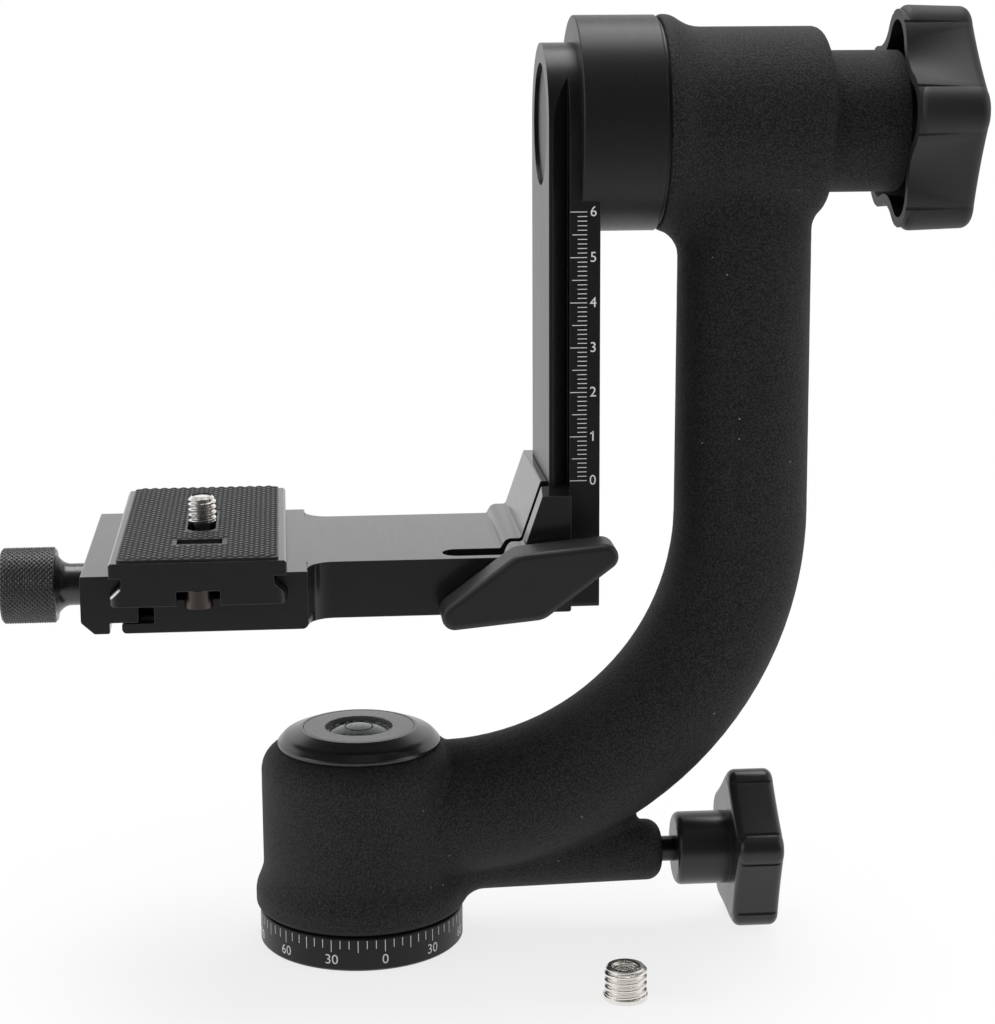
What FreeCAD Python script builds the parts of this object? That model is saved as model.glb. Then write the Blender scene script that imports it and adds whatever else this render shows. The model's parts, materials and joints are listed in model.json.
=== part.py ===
import FreeCAD, Part
import math
import os

# Gimbal tripod head: pan base, swan-neck casting, tilting cradle and its clamps.
# Millimetres. Z up, X along the tilt axis towards the tilt knob, Y away from the side
# that carries the scales. The origin is the mouth of the tripod socket, on the pan axis.

Vector = FreeCAD.Vector

# ---- fits -------------------------------------------------------------------
running_gap = 0.05          # radial, shafts and screws that turn in their holes
sliding_gap = 0.12          # between flat faces that slide past each other
part_gap = 0.3              # between neighbours that never touch

smooth_turn = 12.0          # degrees; faces that meet at less than this need no blend

# ---- pan base ---------------------------------------------------------------
base_radius = 24.0
base_height = 8.0
base_edge = 0.5
socket_radius = 4.7625      # 3/8 inch tripod thread, major diameter
socket_depth = 12.0
pan_washer_thickness = 0.5
pan_washer_width = 7.0
brake_groove_depth = 0.5
retainer_thickness = 2.5
retainer_screw_radius = 3.0
retainer_screw_depth = 14.0
retainer_head_height = 3.3
retainer_head_overhang = 2.2

# ---- barrel of the casting, on the pan axis ---------------------------------
barrel_radius = 23.0
barrel_height = 39.1
barrel_edge_radius = 6.0
lip_bulge = 0.9             # the foot of the barrel stands this far outside the base
lip_height = 9.5
post_wall = 10.0            # barrel's outside to the pan post
bush_wall = 2.0
bush_length = 7.0
cap_seat_wall = 6.0
cap_seat_depth = 14.6
shoulder_washer_thickness = 1.0

# ---- level ------------------------------------------------------------------
cap_overhang = 3.95         # barrel top edge left uncovered round the cap
cap_height = 3.9
cap_rim_height = 0.7
cap_wall = 2.4
disc_radius = 13.0
disc_thickness = 1.2
window_radius = 7.9
vial_wall = 1.4
vial_depth = 5.6
glass_radius = 6.9
glass_rise = 1.4

# ---- swan neck --------------------------------------------------------------
neck_radius_low = 16.0
neck_radius_high = 15.1
neck_height = 30.9          # axis of the lower run
bend_radius = 70.8
bend_start = 19.0
hub_blend_radius = 6.5
barrel_blend_radius = 2.0
boss_blend_radius = 7.0
tilt_height = 190.8

# ---- pan lock ---------------------------------------------------------------
lock_height = 18.6
lock_boss_radius = 8.5
lock_boss_tip_radius = 7.2
lock_boss_end = 71.7
lock_boss_round = 5.6
shoe_radius = 3.8
shoe_length = 9.0
shoe_travel = 2.0
lock_screw_radius = 3.0     # M6
lock_screw_pitch = 1.0
lock_screw_grip = 10.0
lock_stem = 3.3
pan_knob_boss_radius = 8.7
pan_knob_boss_length = 12.4
pan_knob_radius = 19.3
pan_knob_thickness = 11.0
pan_knob_lobes = 5
pan_knob_lobe_radius = 6.5
pan_knob_hollow = 0.25
pan_knob_ridge_radius = 4.3
pan_knob_ridge_rise = 0.8
pan_knob_edge = 2.0
pan_knob_turn = 16.3

# ---- hub and tilt shaft -----------------------------------------------------
drum_radius = 24.0
drum_length = 18.5
friction_washer_thickness = 0.6
friction_washer_width = 8.0
hub_flare_radius = 24.1
hub_flare_length = 2.6
hub_flare_fall = 4.5
hub_waist_radius = 21.3
hub_waist_round = 10.0
hub_length = 37.4
hub_aside = 1.85            # the tube meets the hub this far right of its middle
hub_end_round = 5.6
shaft_radius = 8.0
tilt_bush_wall = 3.0
tilt_bush_length = 13.0
collar_radius = 15.9
collar_length = 17.8
spigot_radius = 6.5
spigot_length = 8.6
shaft_bolt_radius = 3.0
shaft_bolt_length = 25.0
shaft_bolt_head_radius = 5.0
shaft_bolt_head_height = 6.0
thread_radius = 5.0         # M10
thread_pitch = 1.5
thread_reach = 9.0
thread_flat = 4.2
pressure_washer_radius = 12.0
pressure_washer_thickness = 2.0

# ---- tilt knob --------------------------------------------------------------
tilt_knob_radius = 26.2
tilt_knob_draft = 0.5       # the front is this much smaller than the back, in radius
tilt_knob_depth = 16.1
tilt_knob_lobes = 5
tilt_knob_lobe_radius = 9.0
tilt_knob_front_hollow = 0.2
tilt_knob_back_hollow = 2.5
tilt_knob_turn = 8.5
tilt_knob_ridge_radius = 6.5
tilt_knob_ridge_rise = 1.0
tilt_knob_wall = 2.3
tilt_knob_face = 4.6
tilt_knob_edge = 2.4
tilt_knob_back_edge = 2.0
tilt_knob_overlap = 1.1     # the skirt reaches back over the collar
tilt_knob_rib = 1.6
knob_crease = 0.4           # radius of the groove on each side of a knob's ridge
ridge_setback = 0.2         # a ridge starts this far from the knob's back
nut_radius = 7.5
nut_wall = 3.0

# ---- cradle rail ------------------------------------------------------------
rail_width = 36.0
rail_tongue = 4.6
rail_land = 0.9
rail_flange = 6.8
rail_drop = 107.4           # tilt axis to the rail's lower end
rail_corner = 1.0
badge_radius = 13.6
badge_depth = 1.8
end_disc_thickness = 0.9
drum_seat_depth = 4.3
rail_screw_circle = 9.8
rail_screw_count = 3
rail_screw_radius = 2.0
rail_screw_head_radius = 3.5
rail_screw_head_height = 3.4
rail_screw_length = 12.0

# ---- L bracket --------------------------------------------------------------
arm_clearance = 0.6         # the arm hangs this far above the rail's lower end
arm_thickness = 12.8
arm_width = 48.4
foot_rise = 2.2
foot_reach = 10.7           # this and the next two are measured from the rail's left face
upstand_foot_wall = 6.1
upstand_top_wall = 1.6
upstand_height = 28.0
slit_far = -14.6
slit_width = 3.4
slot_width = 6.9
slot_reach = 24.1           # from the rail's left face
jaw_top_bevel = 1.6
lock_inset = 6.1            # from the rail's left face to the lever's screw
lock_rise = 8.7
lever_screw_radius = 3.0
lever_screw_pitch = 1.0
lever_screw_grip = 14.0

# ---- lever ------------------------------------------------------------------
lever_tip = (26.5, 10.2)
lever_shoulder = (3.0, 7.4)
lever_tip_round = 2.9
lever_shoulder_round = 5.5
lever_thickness = 10.6
lever_hub_radius = 7.0
lever_hub_height = 1.2
lever_washer_thickness = 1.0
lever_washer_radius = 6.5
lever_edge = 1.4

# ---- plate clamp ------------------------------------------------------------
clamp_width = 66.4
clamp_right = -11.4
clamp_left = -51.8
clamp_corner = 1.4
bed_rise = 7.25
clamp_blend = 6.0
jaw_left = -60.6
jaw_bevel = 2.6
jaw_face = -54.4
tongue_length = 6.2
tongue_thickness = 3.5
tongue_rise = 5.9
tongue_slot_end = -44.8
clamp_screw_rise = 3.4
clamp_screw_radius = 2.5    # M5
clamp_screw_grip = 15.0
guide_pin_radius = 1.75
guide_pin_spread = 22.0
guide_pin_grip = 9.0
knurl_radius = 8.7
knurl_length = 12.4
knurl_chamfer = 0.7
knob_neck_radius = 4.8
knob_neck_length = 7.8
knob_flare = 3.6

# ---- quick-release plate ----------------------------------------------------
plate_width = 38.0
plate_length = 79.4
plate_centre = -34.96
plate_thickness = 9.6
plate_flange = 3.3
dovetail_land = 1.8
dovetail_depth = 2.7
plate_corner = 2.5
channel_width = 9.4
channel_depth = 3.2
screw_slot_length = 22.0
pad_thickness = 0.6
pad_margin = 1.7
pad_near_gap = 0.7
pad_slot_width = 5.0
pad_slot_length = 10.0
pad_slot_centre = -22.0
stop_head_radius = 3.1
stop_head_height = 4.0
stop_screw_radius = 1.2
stop_screw_length = 3.0
stop_play = 0.5
camera_screw_radius = 3.175  # 1/4 inch camera thread
camera_screw_height = 6.0
camera_shank_radius = 2.6
camera_head_radius = 4.4
camera_head_height = 1.9
camera_washer_thickness = 0.7

# ---- loose thread adapter ---------------------------------------------------
adapter_x = 57.2
adapter_y = -44.5
adapter_height = 7.6
adapter_flange_radius = 5.0
adapter_flange_height = 1.2
adapter_slot_width = 1.4
adapter_slot_depth = 2.0

# ---- heights and stations worked out from the sizes above ---------------------
barrel_bottom = base_height + pan_washer_thickness + running_gap
barrel_top = barrel_bottom + barrel_height
post_radius = barrel_radius - post_wall
bush_radius = post_radius + bush_wall
cap_seat_radius = barrel_radius - cap_seat_wall
shoulder = barrel_top - cap_seat_depth
post_top = shoulder + shoulder_washer_thickness + running_gap
cap_top = barrel_top + cap_height
neck_x = bend_start + bend_radius
neck_top = neck_height + bend_radius

hub_left = neck_x - hub_aside - hub_length / 2
hub_right = hub_left + hub_length
drum_right = hub_left - friction_washer_thickness - running_gap
drum_left = drum_right - drum_length
collar_right = hub_right + collar_length
tilt_bush_radius = shaft_radius + tilt_bush_wall
washer_right = collar_right + running_gap + pressure_washer_thickness
tilt_knob_left = collar_right - tilt_knob_overlap
tilt_knob_right = tilt_knob_left + tilt_knob_depth
nut_left = washer_right + running_gap
shaft_end = nut_left + thread_reach - part_gap

stem_left = lock_boss_end + lock_stem
star_left = stem_left + pan_knob_boss_length
groove_radius = post_radius - brake_groove_depth
shoe_left = groove_radius + running_gap
shoe_right = shoe_left + shoe_length

rail_right = drum_left + drum_seat_depth
rail_left = rail_right - rail_flange - rail_tongue
rail_bottom = tilt_height - rail_drop
rail_half = rail_width / 2
arm_bottom = rail_bottom + arm_clearance
flank = rail_tongue - rail_land
arm_top = arm_bottom + arm_thickness
arm_half = arm_width / 2
foot_start = rail_left - foot_reach
upstand_foot = rail_left - upstand_foot_wall
upstand_top_left = rail_left - upstand_top_wall
slot_start = rail_left - slot_reach
lock_x = rail_left - lock_inset
lock_z = arm_bottom + lock_rise
upstand_top = arm_bottom + upstand_height
bracket_right = rail_left + rail_tongue - part_gap
slit_near = slit_far - slit_width

clamp_half = clamp_width / 2
clamp_bed = arm_bottom + bed_rise
tongue_top = arm_bottom + tongue_rise
clamp_screw_height = arm_bottom + clamp_screw_rise
plate_bottom = clamp_bed + sliding_gap
plate_top = plate_bottom + plate_thickness
plate_half = plate_width / 2
plate_right = plate_centre + plate_half
plate_left = plate_centre - plate_half
flange_bottom = plate_top - plate_flange
dovetail_top = plate_bottom + dovetail_land + dovetail_depth
lip_foot = plate_bottom + dovetail_land + (math.sqrt(2) - 1) * sliding_gap
lip_tip = lip_foot + dovetail_depth
stop_y = clamp_half + stop_head_radius + stop_play
knob_right = jaw_left - running_gap
knurl_right = knob_right - knob_neck_length
knurl_left = knurl_right - knurl_length


# ---- tools --------------------------------------------------------------------
def rounded_wire(corners):
    """A closed wire through (Vector, radius) corners, each radius kept inside its edges."""
    count = len(corners)
    stretches = []
    for index in range(count):
        before = corners[index - 1][0]
        point, radius = corners[index]
        after = corners[(index + 1) % count][0]
        back = before - point
        ahead = after - point
        half = back.getAngle(ahead) / 2
        reach = 0.0
        if radius > 0 and half < math.pi / 2 - 1e-6:
            reach = min(radius / math.tan(half), 0.49 * back.Length, 0.49 * ahead.Length)
        back.normalize()
        ahead.normalize()
        if reach <= 0:
            stretches.append((point, None, point))
            continue
        bisector = back + ahead
        bisector.normalize()
        inside = reach * math.tan(half)
        middle = point + bisector * (inside / math.sin(half) - inside)
        stretches.append((point + back * reach, middle, point + ahead * reach))
    edges = []
    for index in range(count):
        start, middle, end = stretches[index]
        following = stretches[(index + 1) % count][0]
        if middle is not None:
            edges.append(Part.Arc(start, middle, end).toShape())
        if (following - end).Length > 1e-6:
            edges.append(Part.LineSegment(end, following).toShape())
    return Part.Wire(edges)


def face(corners):
    return Part.Face(rounded_wire(corners))


def profile_along_y(corners, y_from, y_to):
    """Extrude an outline of (x, z, radius) corners along Y."""
    outline = face([(Vector(x, y_from, z), radius) for x, z, radius in corners])
    return outline.extrude(Vector(0, y_to - y_from, 0))


def profile_along_x(corners, x_from, x_to):
    """Extrude an outline of (y, z, radius) corners along X."""
    outline = face([(Vector(x_from, y, z), radius) for y, z, radius in corners])
    return outline.extrude(Vector(x_to - x_from, 0, 0))


def profile_along_z(corners, z_from, z_to):
    """Extrude an outline of (x, y, radius) corners along Z."""
    outline = face([(Vector(x, y, z_from), radius) for x, y, radius in corners])
    return outline.extrude(Vector(0, 0, z_to - z_from))


def turned_z(corners, x=0.0, y=0.0):
    """Revolve an outline of (radius, z, rounding) corners about a vertical axis."""
    outline = face([(Vector(x + r, y, z), rounding) for r, z, rounding in corners])
    return outline.revolve(Vector(x, y, 0), Vector(0, 0, 1), 360)


def turned_x(corners, height, y=0.0):
    """Revolve an outline of (x, radius, rounding) corners about an axis along X."""
    outline = face([(Vector(x, y, height + r), rounding) for x, r, rounding in corners])
    return outline.revolve(Vector(0, y, height), Vector(1, 0, 0), 360)


def rod_x(radius, x_from, x_to, y=0.0, z=0.0):
    return Part.makeCylinder(radius, x_to - x_from, Vector(x_from, y, z), Vector(1, 0, 0))


def rod_y(radius, y_from, y_to, x=0.0, z=0.0):
    return Part.makeCylinder(radius, y_to - y_from, Vector(x, y_from, z), Vector(0, 1, 0))


def rod_z(radius, z_from, z_to, x=0.0, y=0.0):
    return Part.makeCylinder(radius, z_to - z_from, Vector(x, y, z_from), Vector(0, 0, 1))


def ring_x(outer, inner, x_from, x_to, height):
    return rod_x(outer, x_from, x_to, z=height).cut(rod_x(inner, x_from, x_to, z=height))


def ring_z(outer, inner, z_from, z_to):
    return rod_z(outer, z_from, z_to).cut(rod_z(inner, z_from, z_to))


def block(x_from, x_to, y_from, y_to, z_from, z_to):
    size = Vector(x_to - x_from, y_to - y_from, z_to - z_from)
    return Part.makeBox(size.x, size.y, size.z, Vector(x_from, y_from, z_from))


def hexagon(across_flats, start, direction, depth):
    """A hexagonal prism, the shape of a socket for a hex key."""
    prism = Part.makePolygon([
        Vector(across_flats / math.sqrt(3) * math.cos(math.radians(60 * k)),
               across_flats / math.sqrt(3) * math.sin(math.radians(60 * k)), 0)
        for k in range(7)])
    solid = Part.Face(prism).extrude(Vector(0, 0, depth))
    turn = FreeCAD.Rotation(Vector(0, 0, 1), direction)
    solid.Placement = FreeCAD.Placement(start, turn)
    return solid


def lobed_face(x, height, tip, lobe_radius, hollow, lobes, turn_degrees):
    """The outline of a lobed knob, its sides hollow by a little less than straight."""
    lobe_centre = tip - lobe_radius
    step = math.pi / lobes
    waist = lobe_centre * math.cos(step) + lobe_radius - hollow
    rise = lobe_radius - waist
    hollow_centre = (lobe_centre ** 2 - rise ** 2) / (2 * (lobe_centre * math.cos(step) + rise))
    hollow_radius = hollow_centre - waist

    def place(radius, angle):
        return Vector(x, -radius * math.cos(angle), height + radius * math.sin(angle))

    def meeting(angle, side):
        lobe = place(lobe_centre, angle)
        hollow = place(hollow_centre, angle + side * step)
        return lobe + (hollow - lobe) * (lobe_radius / (lobe_radius + hollow_radius))

    edges = []
    for index in range(lobes):
        angle = math.radians(turn_degrees) + 2 * step * index
        following = angle + 2 * step
        start = meeting(angle, -1)
        end = meeting(angle, 1)
        edges.append(Part.Arc(start, place(tip, angle), end).toShape())
        edges.append(Part.Arc(end, place(waist, angle + step), meeting(following, -1)).toShape())
    return Part.Face(Part.Wire(edges))


def around_axis(solid, height, turn_degrees):
    """A copy of a solid made on the near side, turned about a tilt-wise axis."""
    turned = solid.copy()
    turned.rotate(Vector(0, 0, height), Vector(1, 0, 0), -turn_degrees)
    return turned


def with_ridges(shell, ends, height, tip, rise, lobe_radius, ridge_radius, rounds, lobes, turn,
                draft=0.0):
    """Stand a ridge on every lobe of a knob, with a fine groove down each of its sides."""
    left, right = ends
    lobe_centre = tip - rise - lobe_radius
    ridge_centre = tip - ridge_radius
    foot = (lobe_radius ** 2 - ridge_radius ** 2 - lobe_centre ** 2 + ridge_centre ** 2) \
        / (2 * (ridge_centre - lobe_centre))
    aside = math.sqrt(ridge_radius ** 2 - (foot - ridge_centre) ** 2)
    ridge = turned_x([
        (left + ridge_setback, 0, 0),
        (left + ridge_setback, ridge_radius, rounds[0]),
        (right, ridge_radius - draft, rounds[1]),
        (right, 0, 0)], height, -ridge_centre)
    creases = [rod_x(knob_crease, left - 1.0, right + 1.0, -foot, height + side * aside)
               for side in (-1, 1)]
    turns = [turn + index * 360.0 / lobes for index in range(lobes)]
    for degrees in turns:
        shell = shell.fuse(around_axis(ridge, height, degrees))
    for degrees in turns:
        for crease in creases:
            shell = shell.cut(around_axis(crease, height, degrees))
    return shell


def edges_at_x(solid, x):
    """The edges of a solid that lie in the plane at x."""
    return [edge for edge in solid.Edges
            if abs(edge.BoundBox.XMin - x) < 1e-4 and abs(edge.BoundBox.XMax - x) < 1e-4]


def edges_at_y(solid, y):
    """The edges of a solid that lie in the plane at y."""
    return [edge for edge in solid.Edges
            if abs(edge.BoundBox.YMin - y) < 1e-4 and abs(edge.BoundBox.YMax - y) < 1e-4]


# ---- pan base -------------------------------------------------------------------
def pan_base():
    body = turned_z([
        (0, 0, 0),
        (base_radius - base_edge, 0, 0),
        (base_radius, base_edge, 0),
        (base_radius, base_height, base_edge),
        (post_radius, base_height, 0),
        (post_radius, lock_height - shoe_radius - part_gap, 0),
        (groove_radius, lock_height - shoe_radius - part_gap, 0),
        (groove_radius, lock_height + shoe_radius + part_gap, 0),
        (post_radius, lock_height + shoe_radius + part_gap, 0),
        (post_radius, post_top, 0),
        (0, post_top, 0)])
    body = body.cut(rod_z(socket_radius, 0, socket_depth))
    return body.cut(rod_z(retainer_screw_radius, post_top - retainer_screw_depth, post_top))


def pan_washer():
    outer = barrel_radius - part_gap
    return ring_z(outer, outer - pan_washer_width, base_height, base_height + pan_washer_thickness)


def retainer_disc():
    top = post_top + retainer_thickness
    disc = turned_z([
        (retainer_screw_radius, post_top, 0),
        (cap_seat_radius - part_gap, post_top, 0),
        (cap_seat_radius - part_gap, top, 0.5),
        (retainer_screw_radius, top, 0)])
    return disc


def retainer_screw():
    seat = post_top + retainer_thickness
    head = retainer_screw_radius + retainer_head_overhang
    screw = turned_z([
        (0, post_top - retainer_screw_depth, 0),
        (retainer_screw_radius, post_top - retainer_screw_depth, 0),
        (retainer_screw_radius, seat, 0),
        (head, seat, 0),
        (head, seat + retainer_head_height, 1.4),
        (0, seat + retainer_head_height, 0)])
    top = Vector(0, 0, seat + retainer_head_height)
    return screw.cut(hexagon(4.0, top, Vector(0, 0, -1), 2.0))


def thread_adapter():
    """The 3/8 to 1/4 inch reducing bush, standing loose on its flange."""
    bush = turned_z([
        (camera_screw_radius, 0, 0),
        (adapter_flange_radius, 0, 0),
        (adapter_flange_radius, adapter_flange_height, 0),
        (socket_radius, adapter_flange_height, 0),
        (socket_radius, adapter_height, 0.5),
        (camera_screw_radius, adapter_height, 0)], adapter_x, adapter_y)
    half_slot = adapter_slot_width / 2
    slot = block(adapter_x - half_slot, adapter_x + half_slot,
                 adapter_y - adapter_flange_radius, adapter_y + adapter_flange_radius,
                 adapter_height - adapter_slot_depth, adapter_height)
    return bush.cut(slot)


# ---- swan neck ------------------------------------------------------------------
def barrel():
    foot = base_radius + lip_bulge
    return turned_z([
        (0, barrel_bottom, 0),
        (foot, barrel_bottom, 1.6),
        (foot, barrel_bottom + lip_height / 2, 6.0),
        (barrel_radius, barrel_bottom + lip_height, 8.0),
        (barrel_radius, barrel_top, barrel_edge_radius),
        (0, barrel_top, 0)])


def neck_tube():
    """A round bar, slightly tapered, swept up a quarter bend and on to the tilt axis."""
    start = Vector(0, 0, neck_height)
    bend_from = Vector(bend_start, 0, neck_height)
    bend_to = Vector(neck_x, 0, neck_top)
    inset = bend_radius * math.sqrt(0.5)
    bend_middle = Vector(bend_start + inset, 0, neck_top - inset)
    path = Part.Wire([
        Part.LineSegment(start, bend_from).toShape(),
        Part.Arc(bend_from, bend_middle, bend_to).toShape(),
        Part.LineSegment(bend_to, Vector(neck_x, 0, tilt_height)).toShape()])
    low = Part.Wire([Part.makeCircle(neck_radius_low, start, Vector(1, 0, 0))])
    high = Part.Wire([Part.makeCircle(neck_radius_high, Vector(neck_x, 0, tilt_height),
                                      Vector(0, 0, 1))])
    return path.makePipeShell([low, high], True, False)


def hub():
    flare_right = hub_left + hub_flare_length
    return turned_x([
        (hub_left, 0, 0),
        (hub_left, hub_flare_radius, 0.8),
        (flare_right, hub_flare_radius, 4.0),
        (flare_right + hub_flare_fall, hub_waist_radius, hub_waist_round),
        (hub_right, hub_waist_radius, hub_end_round),
        (hub_right, collar_radius, 1.5),
        (collar_right, collar_radius, 0.6),
        (collar_right, 0, 0)], tilt_height)


def lock_boss():
    return turned_x([
        (0, 0, 0),
        (0, lock_boss_radius, 0),
        (lock_boss_end, lock_boss_tip_radius, lock_boss_round),
        (lock_boss_end, 0, 0)], lock_height)


def turn_across(solid, edge):
    """The angle in degrees between the two faces that meet at an edge."""
    middle = edge.valueAt((edge.FirstParameter + edge.LastParameter) / 2)
    normals = []
    for side in solid.ancestorsOfType(edge, Part.Face):
        u, v = side.Surface.parameter(middle)
        normals.append(side.normalAt(u, v))
    if len(normals) != 2:
        return 0.0
    return math.degrees(normals[0].getAngle(normals[1]))


def blend(solid, radius, x_range, z_range):
    """Round the sharp joints between fused forms that lie inside a slab of X and Z."""
    joints = []
    for edge in solid.Edges:
        box = edge.BoundBox
        inside_x = x_range[0] < box.XMin and box.XMax < x_range[1]
        inside_z = z_range[0] < box.ZMin and box.ZMax < z_range[1]
        if inside_x and inside_z and turn_across(solid, edge) > smooth_turn:
            joints.append(edge)
    return solid.makeFillet(radius, joints)


def gooseneck():
    casting = neck_tube().fuse(hub()).removeSplitter()
    casting = blend(casting, hub_blend_radius, (hub_left, hub_right), (neck_top, tilt_height))
    foot = barrel().fuse(lock_boss()).removeSplitter()
    foot = blend(foot, boss_blend_radius, (0, lock_boss_end), (barrel_bottom, neck_height))
    casting = casting.fuse(foot).removeSplitter()
    casting = blend(casting, barrel_blend_radius, (0, neck_x - neck_radius_low),
                    (barrel_bottom, neck_top))
    bores = [
        rod_z(bush_radius, barrel_bottom, barrel_top),
        rod_z(cap_seat_radius, shoulder, barrel_top),
        rod_x(shoe_radius + running_gap, 0, shoe_right + shoe_travel + part_gap, z=lock_height),
        rod_x(lock_screw_radius + running_gap, 0, lock_boss_end, z=lock_height),
        rod_x(tilt_bush_radius, hub_left, hub_right, z=tilt_height),
        rod_x(shaft_radius + part_gap, hub_left, collar_right, z=tilt_height)]
    for bore in bores:
        casting = casting.cut(bore)
    return casting


def pan_bushes():
    """Two plain bushes, one each side of the brake shoe."""
    lower_from = barrel_bottom + 0.5
    lower = ring_z(bush_radius, post_radius + running_gap, lower_from,
                   min(lower_from + bush_length, lock_height - shoe_radius - part_gap))
    upper = ring_z(bush_radius, post_radius + running_gap, shoulder - bush_length, shoulder)
    return Part.makeCompound([lower, upper])


def shoulder_washer():
    return ring_z(cap_seat_radius - running_gap, post_radius + part_gap,
                  shoulder, shoulder + shoulder_washer_thickness)


def tilt_bushes():
    left = ring_x(tilt_bush_radius, shaft_radius + running_gap,
                  hub_left, hub_left + tilt_bush_length, tilt_height)
    right = ring_x(tilt_bush_radius, shaft_radius + running_gap,
                   hub_right - tilt_bush_length, hub_right, tilt_height)
    return Part.makeCompound([left, right])


def friction_washer():
    outer = drum_radius - 1.0
    return ring_x(outer, outer - friction_washer_width,
                  hub_left - friction_washer_thickness, hub_left, tilt_height)


# ---- level ----------------------------------------------------------------------
def level_cap():
    outer = barrel_radius - cap_overhang
    plug = cap_seat_radius - running_gap
    floor = cap_top - disc_thickness - vial_depth - cap_wall
    pocket = glass_radius + vial_wall
    seat = cap_top - disc_thickness
    return turned_z([
        (0, floor, 0),
        (plug, floor, 0),
        (plug, barrel_top, 0),
        (outer, barrel_top, 0),
        (outer, barrel_top + cap_rim_height, 0.4),
        (outer - 1.5, cap_top - 1.5, 3.0),
        (disc_radius + 0.6, cap_top, 0.3),
        (disc_radius + running_gap, cap_top, 0),
        (disc_radius + running_gap, seat, 0),
        (pocket, seat, 0),
        (pocket, seat - vial_depth, 0),
        (0, seat - vial_depth, 0)])


def level_disc():
    return turned_z([
        (window_radius, cap_top - disc_thickness, 0),
        (disc_radius, cap_top - disc_thickness, 0),
        (disc_radius, cap_top, 0.2),
        (window_radius, cap_top, 0.2)])


def level_vial():
    """The cup that holds the liquid."""
    top = cap_top - disc_thickness
    outer = glass_radius + vial_wall - running_gap
    return turned_z([
        (0, top - vial_depth, 0),
        (outer, top - vial_depth, 0),
        (outer, top, 0),
        (glass_radius, top, 0),
        (glass_radius, top - vial_depth + vial_wall, 0),
        (0, top - vial_depth + vial_wall, 0)])


def level_glass():
    """The clear lens over the bubble, a shallow dome."""
    base = cap_top - disc_thickness - vial_depth + vial_wall
    edge = cap_top - disc_thickness
    dome = (glass_radius ** 2 + glass_rise ** 2) / (2 * glass_rise)
    column = rod_z(glass_radius - running_gap, base, edge + glass_rise)
    centre = Vector(0, 0, edge + glass_rise - dome)
    return column.common(Part.makeSphere(dome, centre))


# ---- pan lock -------------------------------------------------------------------
def brake_shoe():
    return turned_x([
        (shoe_left, 0, 0),
        (shoe_left, shoe_radius, 0.4),
        (shoe_right, shoe_radius, 0.4),
        (shoe_right, 0, 0)], lock_height)


def pan_knob_screw():
    left = shoe_right + running_gap
    return rod_x(lock_screw_radius, left, stem_left + lock_screw_grip, z=lock_height)


def pan_knob():
    star_right = star_left + pan_knob_thickness
    star = lobed_face(star_left, lock_height, pan_knob_radius - pan_knob_ridge_rise,
                      pan_knob_lobe_radius, pan_knob_hollow, pan_knob_lobes, pan_knob_turn)
    star = star.extrude(Vector(pan_knob_thickness, 0, 0))
    rims = edges_at_x(star, star_left) + edges_at_x(star, star_right)
    star = star.makeFillet(pan_knob_edge, rims)
    star = with_ridges(star, (star_left, star_right), lock_height, pan_knob_radius,
                       pan_knob_ridge_rise, pan_knob_lobe_radius, pan_knob_ridge_radius,
                       (pan_knob_edge, pan_knob_edge), pan_knob_lobes, pan_knob_turn)
    boss = turned_x([
        (stem_left, 0, 0),
        (stem_left, pan_knob_boss_radius, 1.5),
        (star_left + 2.0, pan_knob_boss_radius, 0),
        (star_left + 2.0, 0, 0)], lock_height)
    knob = star.fuse(boss)
    return knob.cut(rod_x(lock_screw_radius, stem_left, stem_left + lock_screw_grip,
                          z=lock_height))


# ---- tilt axis ------------------------------------------------------------------
def tilt_drum():
    drum = turned_x([
        (drum_left, 0, 0),
        (drum_left, drum_radius, 0.4),
        (drum_right, drum_radius, 0.4),
        (drum_right, 0, 0)], tilt_height)
    drum = drum.cut(rod_x(spigot_radius, drum_right - spigot_length, drum_right, z=tilt_height))
    drum = drum.cut(rod_x(shaft_bolt_radius, drum_left, drum_right, z=tilt_height))
    head_end = drum_left + shaft_bolt_head_height + part_gap
    drum = drum.cut(rod_x(shaft_bolt_head_radius, drum_left, head_end, z=tilt_height))
    for y, z in rail_screw_places():
        depth = rail_left + badge_depth + rail_screw_head_height + rail_screw_length
        drum = drum.cut(rod_x(rail_screw_radius, drum_left, depth, y, z))
    return drum


def tilt_shaft():
    step = collar_right - 2.0
    shaft = turned_x([
        (drum_right - spigot_length, 0, 0),
        (drum_right - spigot_length, spigot_radius, 0.3),
        (drum_right, spigot_radius, 0),
        (drum_right, shaft_radius, 0),
        (step, shaft_radius, 0.3),
        (step, thread_radius, 0),
        (shaft_end, thread_radius, 0.6),
        (shaft_end, 0, 0)], tilt_height)
    shaft = shaft.cut(rod_x(shaft_bolt_radius, drum_right - spigot_length,
                            shaft_bolt_end(), z=tilt_height))
    flat = block(step, shaft_end, -thread_radius, thread_radius,
                 tilt_height + thread_flat, tilt_height + thread_radius)
    shaft = shaft.cut(flat)
    flat.translate(Vector(0, 0, -thread_flat - thread_radius))
    return shaft.cut(flat)


def shaft_bolt_end():
    return drum_left + part_gap + shaft_bolt_head_height + shaft_bolt_length


def shaft_bolt():
    head_left = drum_left + part_gap
    head_right = head_left + shaft_bolt_head_height
    bolt = turned_x([
        (head_left, 0, 0),
        (head_left, shaft_bolt_head_radius - part_gap, 0.5),
        (head_right, shaft_bolt_head_radius - part_gap, 0),
        (head_right, shaft_bolt_radius, 0),
        (shaft_bolt_end(), shaft_bolt_radius, 0),
        (shaft_bolt_end(), 0, 0)], tilt_height)
    return bolt.cut(hexagon(5.0, Vector(head_left, 0, tilt_height), Vector(1, 0, 0), 3.0))


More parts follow.
